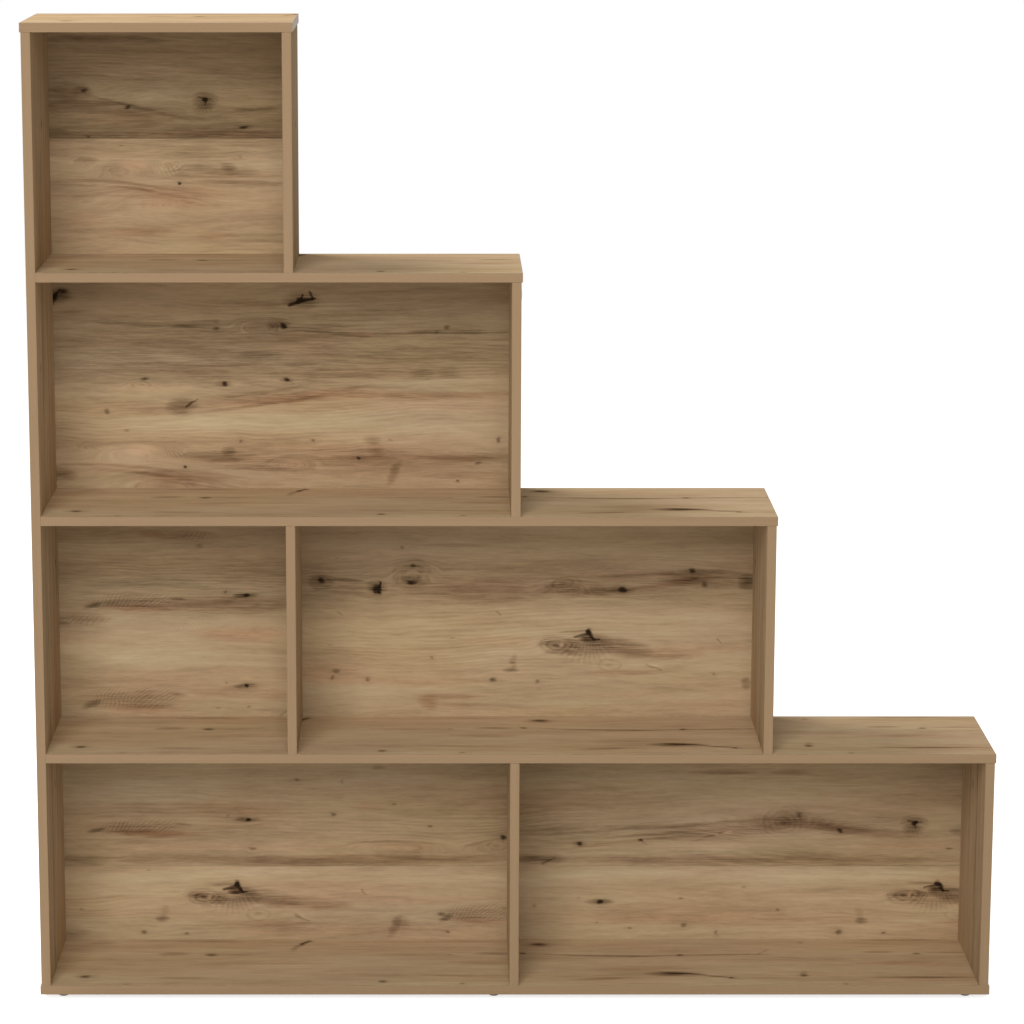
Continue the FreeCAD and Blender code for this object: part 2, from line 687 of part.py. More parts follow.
# Check everything, then write one file for each node
doc.recompute()
for thing in doc.Objects:
    if "Invalid" in thing.State or "Error" in thing.State:
        raise RuntimeError("%s is in a failed state: %s" % (thing.Label, thing.State))
for thing in nodes:
    if thing.Shape.isNull() or not thing.Shape.isValid():
        raise RuntimeError("%s has no valid shape" % thing.Label)
os.makedirs("parts", exist_ok=True)
for thing in nodes:
    thing.Shape.exportStep("parts/%s.step" % thing.Label)
    print("%-36s %3d solids %12.1f mm3" % (thing.Label, len(thing.Shape.Solids), thing.Shape.Volume))
print("%d nodes written" % len(nodes))
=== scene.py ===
from collections import namedtuple
from math import cos, pi, radians, sin

import bmesh
import bpy
from bpy.props import FloatProperty, FloatVectorProperty, PointerProperty
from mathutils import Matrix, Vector


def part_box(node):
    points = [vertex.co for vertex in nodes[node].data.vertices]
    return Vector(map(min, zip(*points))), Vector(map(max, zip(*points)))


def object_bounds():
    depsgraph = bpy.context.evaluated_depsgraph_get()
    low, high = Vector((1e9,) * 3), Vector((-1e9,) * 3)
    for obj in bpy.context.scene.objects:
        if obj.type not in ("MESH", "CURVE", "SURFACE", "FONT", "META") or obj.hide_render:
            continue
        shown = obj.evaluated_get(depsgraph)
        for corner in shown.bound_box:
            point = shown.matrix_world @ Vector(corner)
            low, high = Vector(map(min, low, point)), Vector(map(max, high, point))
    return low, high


bl_info = {
    "name": "Stepped Book Cabinet",
    "version": (1, 0, 0),
    "blender": (4, 5, 0),
    "location": "View3D > Sidebar > Cabinet",
    "description": "Finishes a stepped book cabinet: oak decor, edging, feet, fittings, light and camera",
    "category": "Material",
}

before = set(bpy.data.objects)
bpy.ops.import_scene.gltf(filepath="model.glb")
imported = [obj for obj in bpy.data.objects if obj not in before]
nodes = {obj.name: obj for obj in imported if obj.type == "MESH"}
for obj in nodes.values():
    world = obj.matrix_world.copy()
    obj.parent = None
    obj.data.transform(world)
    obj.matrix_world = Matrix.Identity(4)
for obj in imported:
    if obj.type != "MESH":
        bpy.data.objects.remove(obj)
cad_low, cad_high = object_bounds()

TIERS = ("top_tier", "second_tier", "third_tier", "bottom_tier")
LYING_BOARDS = ("base_board", "lower_shelf", "middle_shelf", "upper_shelf", "top_board")
UPRIGHTS = (
    "left_side_panel", "top_tier_end_panel", "second_tier_end_panel", "third_tier_end_panel",
    "bottom_tier_end_panel", "third_tier_divider", "bottom_tier_divider",
)
FLOOR_OF_TIER = dict(zip(TIERS, ("upper_shelf", "middle_shelf", "lower_shelf", "base_board")))


def linear(level):
    """One channel of a screen colour, 0 to 255, as the linear value that a shader reads."""
    share = level / 255
    return share / 12.92 if share <= 0.04045 else ((share + 0.055) / 1.055) ** 2.4


def screen(red, green, blue):
    """A screen colour, 0 to 255 a channel, as linear red, green and blue."""
    return (linear(red), linear(green), linear(blue))


# Marks of the printed decor. A few broad pale clouds among them are painted light, which lifts shade on
# the boards. Places and sizes are in millimetres. On a back panel, along counts from the cabinet's left end
# and up from the floor of the tier. On the deep boards, up counts in from the front, and on an upright,
# along counts from the ground. Lengths and heights are half sizes, and a bow is a tilt for each metre along.
# A motif's marks are measured from the motif's own place.

Knot = namedtuple("Knot", "along up length height depth")
Cloud = namedtuple("Cloud", "along up length height depth warmth tilt bow", defaults=(0, 0))
Crack = namedtuple("Crack", "along up to_along to_up width depth")
Hill = namedtuple("Hill", "along up length height lift")
Rings = namedtuple("Rings", "along up length height count depth")
Ripple = namedtuple("Ripple", "along up length height spacing lean depth")
Fan = namedtuple("Fan", "along up length height from_along from_up count depth")
Plank = namedtuple("Plank", "joint_up tone_above seam_depth")

MILLIMETRE = 0.001
LENGTHS = ("along", "up", "to_along", "to_up", "from_along", "from_up", "length", "height", "width", "lift",
           "spacing", "joint_up")


class Decor:
    """The marks of one board's print, and any clouds of painted light on it, kept in metres."""

    def __init__(self, *marks):
        self.marks = [mark._replace(**{
            field: MILLIMETRE * getattr(mark, field) for field in LENGTHS if field in mark._fields
        }) for mark in marks]

    def of(self, kind):
        return [mark for mark in self.marks if isinstance(mark, kind)]


def moved(motif, along, up):
    """The motif's marks, moved to that place."""
    shifts = {"along": along, "up": up, "to_along": along, "to_up": up, "from_along": along, "from_up": up}
    return [mark._replace(**{
        field: getattr(mark, field) + shift for field, shift in shifts.items() if field in mark._fields
    }) for mark in motif]


def herringbone(along, up, length, height):
    """A lens of strokes that lean more and more to the right, from a dark end on its left."""
    return [
        Ripple(along - 0.40 * length, up, 0.50 * length, 1.2 * height, 6, -1.10, 0.040),
        Ripple(along + 0.35 * length, up, 0.60 * length, 1.2 * height, 5.2, -0.55, 0.045),
        Cloud(along - 0.1 * length, up - 0.2 * height, length * 1.1, height * 1.1, 0.16, 0.9),
        Cloud(along - 0.84 * length, up - 0.6 * height, 0.22 * length, 0.42 * height, 0.20, 0.2, 0.3),
        Cloud(along + 0.10 * length, up - 0.95 * height, 0.90 * length, 0.60 * height, 0.07, 2.6, -0.04),
        Cloud(along + 0.80 * length, up + 0.25 * height, 0.20 * length, 0.22 * height, 0.12, 0.2, -0.10),
    ]


# A knot under a roof-shaped crack, with a ringed eye to its left and rays that fan out below.
SPLIT_KNOT = (
    Crack(-6, 4, -27, -1, 5.2, 0.56),
    Crack(-7, 9, 4.5, -7, 5.8, 0.62),
    Crack(4, -7, 14, -7.5, 3.4, 0.4),
    Knot(-6, 6, 6.8, 4.2, 0.56),
    Cloud(-8, -5, 14, 7, 0.22, 1.2),
    Cloud(-30, 8, 33, 3, 0.14, 0.3),
    Cloud(-6, -17, 48, 22, 0.22, 1),
    Cloud(-56, -15.5, 42, 19, 0.21, 0.9, -0.1),
    Cloud(-72, -12, 18, 6, 0.11, 0.6),
    Cloud(-52, -14, 15, 6, 0.06, 0.9),
    Cloud(-49, -14, 5, 7, -0.16, 0.2),
    Cloud(45, -17, 66, 18.5, 0.19, 0.9, -0.2),
    Cloud(110, -28, 90, 13, 0.1, 1.4, -0.06),
    Cloud(140, -34, 60, 4, 0.06, 1.6),
    Cloud(55, -62, 80, 7, 0.07, 1.6),
    Cloud(110, -51, 16, 3, -0.07, 0.6, -0.4),
    Fan(-10, -27, 56, 24, -4, 12, 36, 0.036),
    Rings(-60, -15, 36, 18, 3, 0.09),
    Rings(31, -48, 30, 15, 2, 0.06),
    Crack(93, -49, 118, -59, 3.4, 0.22),
    Hill(-62, -15, 50, 22, 12),
)

# A dark knot in a soft lens, with a faint dot to its upper left.
EYE = (
    Knot(0, 0, 4.6, 4.6, 0.6),
    Cloud(0, 0, 23, 5.8, 0.15, 0),
    Cloud(-13, 0, 15, 3.4, 0.1, 0, 0.05),
    Cloud(-6, -1, 42, 8, 0.08, 0.2, 0.06),
    Cloud(0, -8, 90, 11, 0.05, 0.7),
    Cloud(1, 13.5, 16, 5, -0.05, 1.4),
    Knot(-34.5, 6, 3.4, 2.6, 0.24),
)

# A star-shaped knot.
STAR_KNOT = (
    Knot(0, 0, 5.6, 5, 0.52),
    Crack(1, 1, -11, 4, 3.6, 0.28),
    Crack(1, 1, 12, 1, 3.6, 0.24),
    Crack(1, 1, 1, -9, 3.4, 0.2),
    Cloud(0, 0, 26, 16, 0.15, 0.2),
    Cloud(-4, -12, 20, 12, 0.09, 0.3),
    Fan(0, -11, 24, 13, 0, 8, 26, 0.022),
    Hill(0, 0, 35, 18, 8),
)

# A rosy cloud with two small knots, and a dark line that falls from them towards the right.
FALLING_LINE = (
    Knot(0, 0, 5.8, 4.6, 0.34),
    Knot(71, -27.5, 5, 4.2, 0.42),
    Cloud(-32, -3, 48, 20, 0.17, 1.5),
    Cloud(-6, 1, 18, 8, 0.1, 0.6),
    Cloud(-30, -22, 90, 8, 0.12, 1),
    Cloud(35, -22, 60, 8, 0.09, 0.9),
    Cloud(70, -45, 90, 18, 0.04, 1.6),
    Cloud(85, -27, 105, 4, 0.1, 0.4, -0.24, 0.15),
    Hill(20, -15, 120, 30, -10),
)

# A small black knot under a brown lens, with a curl and pointed arches to its left.
SWIRLED_PLANK = (
    Knot(0, 0, 3.6, 3.4, 0.72),
    Cloud(-156, 37, 26, 7, 0.12, 1.1),
    Hill(-156, 37, 30, 12, 16),
    Hill(-95, 27, 80, 22, 22),
    Hill(-18, 24, 30, 14, -16),
    Cloud(-73, 29, 33, 11, -0.07, 1.6),
    Ripple(-18, 23, 26, 13, 6, 0.9, 0.04),
    Cloud(50, 18, 80, 12, 0.15, 0.8),
    Cloud(77, 26.5, 15, 10, 0.18, 0.3),
    Knot(96.1, 43.4, 4, 3.4, 0.16),
    Cloud(110, 12, 90, 9, 0.07, 0.9),
    Cloud(115, -1, 105, 5, 0.15, 1, -0.04),
    Cloud(-110, 3, 110, 4, 0.11, 1, -0.07, -0.6),
    Cloud(-100, -6, 100, 3.6, 0.08, 1, -0.08, -0.5),
    Cloud(-30, -16, 70, 4, 0.08, 1.2, -0.17),
    Cloud(10, -30, 70, 3.6, 0.08, 1.2, -0.16, 0.4),
    Cloud(-10, -18, 100, 15, 0.06, 1.8),
    Cloud(-25, -34, 60, 8, 0.06, 1.8),
    Hill(-40, -20, 150, 30, 20),
    Cloud(-205, -6, 40, 12, 0.1, 0),
)

TOP_TIER_PRINT_AND_LIGHT = Decor(
    Plank(188.5, -0.125, 0.06),
    Cloud(200, 190, 400, 70, 0.1, 0.2),
    Cloud(200, 70, 300, 120, 0.04, 0.3),
    # Painted light: a broad pale cloud along the top of the back panel lifts the shade that the shelf above
    # casts there.
    Cloud(200, 365, 600, 80, -0.1, 0),
    Cloud(100, 349, 130, 7, 0.16, 0.9),
    Cloud(340, 300, 110, 8, 0.05, 0.4),
    Cloud(360, 238, 40, 3, 0.12, 0.2),
    Knot(333, 207, 7.4, 3.4, 0.42),
    Cloud(333, 207, 18, 6, 0.06, 0),
    Cloud(260, 196, 220, 9, 0.08, 1.8),
    Cloud(50, 195, 90, 9, 0.08, 0.4),
    Knot(79, 193, 3.4, 2.6, 0.2),
    Knot(133, 178, 6, 2, 0.22),
    Cloud(260, 176, 200, 10, -0.05, -0.4),
    Cloud(70, 60, 40, 20, -0.02, 1.2),
    Cloud(160, 35, 60, 7, 0.05, 2),
    Cloud(290, 30, 40, 8, 0.03, 1.5),
    Cloud(320, 31, 40, 4, 0.07, -0.3),
    Cloud(80, 95, 90, 3, 0.07, 0),
    Cloud(200, 12, 250, 10, -0.03, -0.3),
    *moved(FALLING_LINE, 75.5, 265),
    *moved(STAR_KNOT, 269, 251),
    *moved(SWIRLED_PLANK, 228, 116.5),
)

SECOND_TIER_DECOR = Decor(
    Cloud(390, 225, 700, 90, 0.14, 0),
    Cloud(390, 60, 700, 100, 0.03, 0.3),
    Cloud(28, 323, 26, 16, 0.2, 0.4),
    Knot(36, 329, 9, 4.2, 0.56),
    Knot(23, 319, 5.6, 4.6, 0.46),
    Crack(16, 310, 29, 332, 5, 0.5),
    Cloud(50, 295, 40, 8, 0.06, 0.3),
    Cloud(425, 315, 34, 16, 0.2, 0.5),
    Crack(408, 306.5, 430, 315, 4.4, 0.62),
    Crack(420, 315, 446, 318, 5, 0.66),
    Crack(425, 319, 428, 324, 3, 0.5),
    Crack(440, 326, 443, 317, 3.4, 0.55),
    Cloud(365, 308, 60, 6, 0.1, 1.5),
    Knot(394, 272, 6.6, 5.8, 0.62),
    Cloud(385, 276, 22, 12, 0.11, 1.4),
    Hill(352, 276, 56, 18, 20),
    Cloud(345, 277, 50, 12, 0.06, 0.2),
    Knot(283, 267, 6.6, 3, 0.36),
    Knot(284, 278, 7, 3.4, 0.16),
    Cloud(185, 274.5, 110, 4, 0.11, 0.2),
    Cloud(240, 272, 50, 5, 0.06, 0),
    Cloud(540, 256, 130, 4.4, 0.15, 0.5, 0, 0.6),
    Cloud(700, 261, 120, 5, 0.17, 0.5),
    Cloud(520, 256, 33, 7, 0.02, 1.8),
    Cloud(470, 268, 70, 8, 0.08, 0.4),
    Knot(661, 268, 6, 3.4, 0.36),
    Knot(644, 260, 4, 2.4, 0.18),
    Cloud(350, 222, 50, 12, 0.13, -0.2),
    Cloud(430, 235, 70, 30, 0.02, 1.2),
    Cloud(280, 208, 240, 4, 0.08, 0.5),
    Cloud(440, 206.5, 50, 3, 0.1, 0),
    Cloud(590, 193, 240, 11, 0.08, 0.8),
    Cloud(620, 192, 25, 11, 0.11, -0.2),
    Cloud(665, 194, 23, 10, 0.06, -0.2),
    Knot(165, 184, 8, 3.2, 0.48),
    Rings(160, 174, 30, 13, 2.6, 0.06),
    Hill(160, 172, 40, 15, 14),
    Cloud(170, 169, 100, 10, -0.06, 1),
    Knot(296, 175.5, 5.2, 4.2, 0.58),
    Cloud(296, 175.5, 16, 6, 0.14, 0.9),
    Knot(400, 182.5, 5, 3.4, 0.56),
    Cloud(400, 182.5, 13, 5, 0.12, 0.9),
    Crack(402, 181, 411, 174, 3, 0.12),
    Cloud(85, 148, 110, 8, 0.09, 0.6),
    Cloud(120, 135, 150, 14, 0.08, 1.5),
    Cloud(450, 156, 260, 12, 0.08, 1.4, 0.06),
    Cloud(670, 155, 140, 6, 0.08, 1.2),
    Knot(99, 129.5, 5, 5, 0.34),
    Cloud(226, 137, 28, 19, 0.17, 0.1),
    Crack(234, 137, 252, 149, 3, 0.4),
    Cloud(350, 140, 140, 4, 0.11, 1, 0.15),
    Cloud(350, 161, 110, 3.6, 0.09, 1, 0.12, 0.4),
    Cloud(380, 150, 160, 11, 0.06, 1.6, 0.12),
    Cloud(600, 154, 220, 10, 0.06, 1.5),
    Cloud(620, 169, 100, 14, 0, -1.4),
    Cloud(450, 108, 400, 22, -0.07, -0.9),
    Cloud(170, 105, 150, 22, -0.06, -0.2),
    Knot(133.1, 97, 5.6, 2, 0.22),
    Cloud(500, 50, 280, 30, 0.1, 1.4),
    Cloud(550, 50, 220, 4, 0.05, 1.2),
    Cloud(540, 80, 17, 9, 0.13, 0),
    Cloud(545, 64, 16, 17, 0.08, 1.4),
    Knot(443, 78, 3.6, 2.6, 0.3),
    Knot(323, 79, 3.6, 2.6, 0.2),
    Knot(570, 81, 5, 2.2, 0.2),
    Knot(749, 82, 4.8, 5.8, 0.48),
    Knot(518, 49, 3.8, 3, 0.48),
    Hill(410, 43, 60, 18, 26),
    Cloud(410, 40, 25, 9, -0.04, 0.5),
    Cloud(690, 52, 110, 8, 0.07, 1.2),
    Cloud(680, 22, 130, 8, 0.05, 1),
    Knot(715, 42, 6.6, 3, 0.34),
    Cloud(576, 24, 15, 17, 0.14, 0.8, 1.1),
    Knot(681, 11.5, 3.6, 3.2, 0.44),
    Cloud(25, 20, 30, 16, 0.1, 0.6),
    *moved(SWIRLED_PLANK, 227.5, 35),
)

THIRD_TIER_DECOR = Decor(
    Cloud(200, 220, 350, 70, 0.05, 0.2),
    Cloud(600, 230, 900, 70, 0.07, -0.2),
    Cloud(170, 312, 26, 9, 0.08, 2),
    Cloud(225, 311, 60, 11, 0.12, 1.3),
    Ripple(250, 309, 40, 13, 7, -1, 0.03),
    Cloud(250, 292, 9, 5, 0.12, 0),
    Cloud(160, 226, 130, 11, 0.07, 0),
    *moved(EYE, 330, 209.4),
    *moved(EYE, 330, 52),
    *herringbone(142.3, 199, 86, 13),
    *herringbone(140, 33, 88, 20),
    Cloud(280, 192, 150, 18, 0.12, 1.5),
    Cloud(45, 166, 60, 15, 0.18, 1.2),
    Ripple(60, 165, 50, 13, 6.6, -0.8, 0.035),
    Cloud(15, 158, 24, 8, 0.14, 0),
    Ripple(235, 157, 50, 8, 6, 0.9, 0.035),
    Hill(360, 157, 90, 20, 24),
    Cloud(315, 142, 90, 15, 0.06, 2.8),
    Cloud(155, 115, 160, 38, -0.08, -0.5),
    Knot(329, 18, 4, 2.8, 0.3),
    Knot(280, 13, 6, 2, 0.2),
    Cloud(380, 35, 40, 12, 0.02, 1.4),
    Crack(385, 4, 393, 10, 4, 0.2),
    Knot(450.5, 234.5, 6.2, 5.6, 0.56),
    Cloud(450, 231, 26, 18, 0.13, 0.3),
    Rings(450, 230, 30, 20, 2.2, 0.03),
    Cloud(500, 234, 48, 4, 0.16, 0.6, -0.07),
    Cloud(505, 220, 56, 13, 0.11, 1),
    Knot(547, 220, 8, 9, 0.55),
    Crack(552, 212, 553, 231, 5, 0.6),
    Crack(544, 212, 552, 211, 3.6, 0.5),
    Cloud(548, 221, 19, 19, 0.16, 0.5),
    Knot(604.5, 257, 5.6, 5, 0.3),
    Knot(607, 230, 8.6, 3.6, 0.54),
    Cloud(606, 242, 36, 28, 0.15, 0.1),
    Cloud(606, 246, 11, 6, -0.12, -0.3),
    Hill(606, 250, 56, 30, 26),
    Rings(605, 245, 40, 30, 3, 0.04),
    Knot(587, 288, 3.6, 2.8, 0.3),
    Knot(479, 270, 3.6, 2.6, 0.16),
    Cloud(680, 292, 70, 4, 0.06, 0.2),
    Cloud(750, 220, 220, 22, 0.12, 1.6),
    Cloud(980, 240, 140, 12, 0.06, 1.2),
    Cloud(700, 199, 140, 8, 0.08, 1.2),
    Cloud(990, 210, 170, 12, 0.05, 0.6),
    Cloud(860, 227, 36, 14, 0.12, 1.1),
    Rings(855, 229, 34, 15, 2.6, 0.06),
    Hill(870, 225, 70, 18, 16),
    Cloud(905, 216, 80, 9, 0.13, 1),
    Knot(957, 218.5, 7.6, 5.4, 0.56),
    Cloud(957, 218.5, 26, 8, 0.08, 0.6),
    Cloud(1035, 227, 90, 8, 0.13, 2.2, 0.15),
    Cloud(1105, 237, 95, 16.5, 0.19, 1.4),
    Cloud(1070, 247, 100, 5, 0.1, 0.6, 0.03, -0.4),
    Knot(1073, 248.5, 6, 5, 0.48),
    Knot(1092, 227, 6.6, 5, 0.36),
    Cloud(1165, 232, 20, 15, 0.22, 0.5),
    Crack(486, 180, 490, 174, 3, 0.2),
    Crack(747, 178, 753, 172, 3, 0.2),
    Cloud(560, 156, 150, 15, -0.06, -0.6),
    Cloud(950, 170, 260, 12, -0.04, -0.2),
    Knot(468, 123.5, 7.4, 2, 0.28),
    Knot(580, 141.5, 12, 1.8, 0.16),
    Knot(636, 102.5, 4.4, 2.4, 0.34),
    Knot(672, 134, 5, 1.8, 0.22),
    Cloud(750, 130, 70, 12, 0.03, 1.3),
    Knot(478, 77, 8, 4, 0.32),
    Knot(472, 66, 4, 5, 0.3),
    Cloud(460, 73, 90, 24, 0.06, 1.9),
    Cloud(600, 60, 140, 11, 0.06, 1.6),
    Knot(530, 62.5, 4, 5, 0.32),
    Knot(742, 63, 6.6, 5.4, 0.5),
    Cloud(772, 82, 15, 6, 0.24, 0.3),
    Cloud(776, 96, 8, 15, 0.14, 0.9),
    Knot(815, 60.5, 4.2, 3.4, 0.34),
    Cloud(632, 23, 20, 17, 0.13, 2.4),
    Cloud(670, 34, 70, 6, 0.1, 1.6),
    Cloud(685, 20, 60, 4, 0.09, 1.2),
    Cloud(850, 25, 200, 12, 0, -1),
    *moved(SPLIT_KNOT, 905, 137.9),
    Crack(1115, 133, 1120, 127, 3, 0.26),
    Knot(1112, 73.1, 4, 3, 0.2),
    Cloud(1166, 57, 10, 12, 0.2, 1),
    Cloud(1100, 118, 90, 12, 0.04, 1.2),
)

BOTTOM_LEFT_MARKS = [
    *herringbone(143.2, 200, 88, 12),
    Cloud(200, 185, 70, 7, 0.07, 2),
    *moved(EYE, 329, 212.6),
    *moved(SPLIT_KNOT, 312.2, 90.9),
    Cloud(300, 232, 100, 18, 0.05, 1.6),
    # Painted light: a broad pale, cooler cloud along the top of the back panel lifts the shade that the
    # shelf above casts there.
    Cloud(340, 290, 600, 60, -0.07, -0.5),
    Knot(333, 161.5, 7.6, 3, 0.34),
    Knot(410.5, 281, 4.4, 3.4, 0.32),
    Knot(484, 277, 3, 5.6, 0.2),
    Knot(470, 219.5, 6, 3.4, 0.4),
    Knot(576, 238, 6, 2.4, 0.26),
    Knot(634, 199.5, 4.6, 2.6, 0.28),
    Cloud(535, 235, 33, 11, 0.05, 1.6),
    Cloud(550, 302, 14, 6, 0.16, 0),
    Knot(757.7, 178.1, 6.6, 5.8, 0.6),
    Rings(747.5, 163, 30, 15, 2.4, 0.05),
    Hill(735, 164, 60, 18, 20),
    Hill(585, 164, 115, 17, 24),
    Cloud(585, 164, 90, 11, -0.04, 0.9),
    Cloud(590, 172, 100, 3, 0.14, 0.7, -0.03, -0.9),
    Cloud(715, 168, 50, 3, 0.1, 0.5, 0.2),
    Knot(160, 124.5, 5, 2, 0.22),
    Crack(520, 86, 527, 79, 3, 0.26),
    Knot(43, 52.5, 4.4, 2.4, 0.3),
    Cloud(181, 35, 13, 7, 0.22, 0.2),
    Cloud(183, 50, 9, 11, 0.08, 0.4),
    Knot(148, 13, 7.4, 5, 0.46),
    Knot(222, 9.5, 5, 3, 0.32),
    Cloud(25, 12, 36, 16, 0.12, 0.2),
    *herringbone(715, 48, 64, 19),
    Knot(652, 44, 8, 4.2, 0.44),
    Cloud(576, 23, 15, 17, 0.13, 0.8, 1.1),
    Cloud(588, 28, 17, 13, 0.11, 1.2),
    Knot(664, 11.5, 3.6, 3, 0.44),
    Cloud(450, 140, 400, 11.5, 0.15, 2),
    Cloud(320, 164, 240, 11, -0.02, 1),
    Cloud(30, 140, 70, 13, 0.1, 0.3),
    Cloud(350, 112, 420, 18, -0.08, -0.6),
    Cloud(570, 72, 220, 11, 0.05, 1.4),
    Cloud(460, 18, 280, 13, 0.04, 1),
]

BOTTOM_RIGHT_MARKS = [
    Cloud(815, 140, 56, 12, 0.2, 0.6),
    Crack(825, 133, 846, 144, 3.4, 0.22),
    Cloud(1130, 294, 60, 6, 0.16, 0.9),
    Cloud(1240, 295, 40, 6, 0.12, 0.4),
    Cloud(930, 265, 60, 8, 0.1, 0),
    Cloud(850, 262, 60, 5, 0.07, 0),
    # Painted light: a broad pale, cooler cloud along the top of the back panel lifts the shade that the
    # shelf above casts there.
    Cloud(1150, 290, 600, 60, -0.08, -0.3),
    Knot(888, 167, 5.2, 4.2, 0.52),
    Cloud(888, 167, 15, 6, 0.1, 0.8),
    Knot(991, 173.5, 5.4, 3.4, 0.52),
    Crack(993, 172, 1002, 165, 3, 0.12),
    Cloud(1010, 198.5, 200, 5, 0.14, 0.5, 0.08),
    Cloud(960, 170, 140, 4, 0.08, 0.8, 0.12),
    Cloud(1040, 188, 130, 4, 0.08, 0.9, 0.1),
    Cloud(1130, 194, 150, 20, 0.15, 1.3, 0.06),
    Cloud(1138, 191, 12, 5, -0.1, 1.6),
    Cloud(1118, 186, 6, 4, -0.08, 1.4),
    Cloud(1110, 184, 40, 3, 0.1, 1, 0.35),
    Cloud(1225, 209, 56, 19, 0.09, 0.5),
    Cloud(1240, 218, 44, 19, 0.07, 0.1, 0.15),
    Cloud(1310, 200, 120, 17, 0.12, 1.3, -0.12),
    Rings(1230, 206, 52, 44, 5.4, 0.038),
    Knot(1258, 220, 7, 5.8, 0.3),
    Knot(1327, 191, 5.2, 4.8, 0.48),
    Hill(1220, 195, 180, 30, -22),
    Cloud(1370, 190, 130, 9, 0.1, 1.2, -0.09),
    Cloud(1310, 202, 80, 6, 0.09, 1, -0.14),
    *moved(STAR_KNOT, 1452.1, 203.4),
    Knot(1513, 160, 8, 3.2, 0.36),
    Cloud(1530, 190, 20, 8, 0.14, 0.4),
    Cloud(1170, 140, 420, 11.5, 0.14, 1.7),
    Cloud(1050, 165, 220, 12, -0.03, 0.8),
    Cloud(1450, 166, 100, 10, 0, 1.2),
    Cloud(930, 119, 160, 11, -0.04, -1.3),
    Cloud(1450, 116, 90, 12, -0.05, -1),
    Cloud(1220, 112, 300, 14, -0.05, -0.2),
    Knot(887, 72.5, 3.4, 2.8, 0.18),
    Knot(812, 59, 4.4, 3.2, 0.24),
    Knot(922, 66, 6.6, 5.2, 0.62),
    Cloud(922, 66, 28, 7.2, 0.28, 0.2),
    Knot(1060, 73, 6.4, 2.2, 0.32),
    Knot(1166, 91.5, 5.4, 2.2, 0.28),
    Knot(1225, 52, 4.6, 2.4, 0.32),
    *moved(SPLIT_KNOT, 1499.1, 90.9),
    Cloud(1365, 32, 13, 6, 0.22, 0.3),
    Cloud(1364, 46, 9, 12, 0.08, 0.6),
    Knot(1330, 13, 7.4, 5.4, 0.46),
    Knot(1065, 25, 6, 6, 0.38),
    Knot(975, 19, 4.6, 3, 0.26),
    Knot(920, 31, 3.4, 2.6, 0.22),
    Knot(1121, 13, 3.4, 5, 0.32),
    Knot(1405, 10, 4, 2.8, 0.34),
    Cloud(1150, 35, 300, 15, 0.05, 1.3),
    Cloud(1290, 86, 80, 6, 0.05, 0.2),
]

BOTTOM_TIER_PRINT_AND_LIGHT = Decor(Plank(129, -0.045, 0.07), *BOTTOM_LEFT_MARKS, *BOTTOM_RIGHT_MARKS)

LYING_PRINT_AND_LIGHT = Decor(
    # Painted light: a pale cloud over nearly the whole board lightens and warms every lying board a little,
    # to make up for light that the floors inside the compartments lack.
    Cloud(775, 120, 2400, 800, -0.04, 0.4),
    Knot(70, 45, 10, 8, 0.5),
    Cloud(70, 45, 26, 13, 0.1, 0.5),
    Cloud(80, 215, 30, 12, 0.1, 0.8),
    Knot(137, 8, 6, 4, 0.26),
    Cloud(240, 37, 100, 7, 0.13, 0.8),
    Cloud(207, 160, 34, 11, 0.2, 0.6),
    Knot(268, 152.5, 11, 8, 0.52),
    Cloud(315, 158, 60, 6, 0.12, 0.4, 0.08),
    Cloud(220, 223, 150, 7, 0.1, 0.6),
    Cloud(365, 107, 170, 8, 0.08, 0.8),
    Crack(427, 222, 417, 208, 8, 0.5),
    Cloud(414, 198, 16, 18, 0.18, 0.6, 1.6),
    Knot(558, 20.6, 9, 8, 0.5),
    Knot(689, 10.7, 7, 6, 0.36),
    Cloud(610, 156, 90, 6, 0.14, 0.6),
    Knot(670, 154, 6, 5, 0.2),
    Cloud(743, 158, 40, 10, 0.2, 0.5),
    Cloud(720, 113, 80, 13, 0.09, 1.2),
    Cloud(640, 220, 150, 9, 0.1, 0.5),
    Cloud(650, 50, 150, 8, 0.1, 0.8),
    Knot(788.5, 159, 8, 6, 0.56),
    Knot(822, 208, 15, 9, 0.44),
    Cloud(818, 205, 30, 18, 0.14, 0.6),
    Cloud(930, 146.5, 150, 6, 0.26, 0.2, -0.037, 0.62),
    Cloud(1120, 153, 100, 5, 0.2, 0.4, 0.02),
    Knot(1053, 153, 7, 6, 0.36),
    Crack(1188, 156, 1204, 180, 4, 0.22),
    Cloud(1038, 59, 56, 15, 0.28, 1),
    Cloud(1040, 63, 30, 7, 0.18, 0.6),
    Cloud(980, 78, 90, 24, 0.06, 0.8),
    Cloud(1100, 48, 60, 6, 0.2, 0.6, -0.28),
    Knot(1129, 39, 6, 6, 0.36),
    Cloud(1190, 37, 70, 5, 0.14, 0.6),
    Cloud(915, 35, 60, 8, 0.15, 0.8, 0.1),
    Knot(1253, 52, 8, 8, 0.5),
    Cloud(1256, 64, 8, 12, 0.12, 0.6),
    Knot(1262, 217, 7, 5, 0.24),
    Knot(1316, 9, 7, 5, 0.32),
    Cloud(1388, 169, 34, 9, 0.2, 0.9),
    Knot(1449.5, 159.5, 9, 7, 0.52),
    Cloud(1505, 166, 56, 6, 0.18, 0.6),
    Cloud(1445, 41, 110, 7, 0.2, 0.9),
    Cloud(1430, 229, 100, 5, 0.12, 0.5),
    Cloud(1420, 112, 100, 14, 0.07, 1.2),
    Cloud(1260, 130, 120, 12, 0.06, 0.6),
)

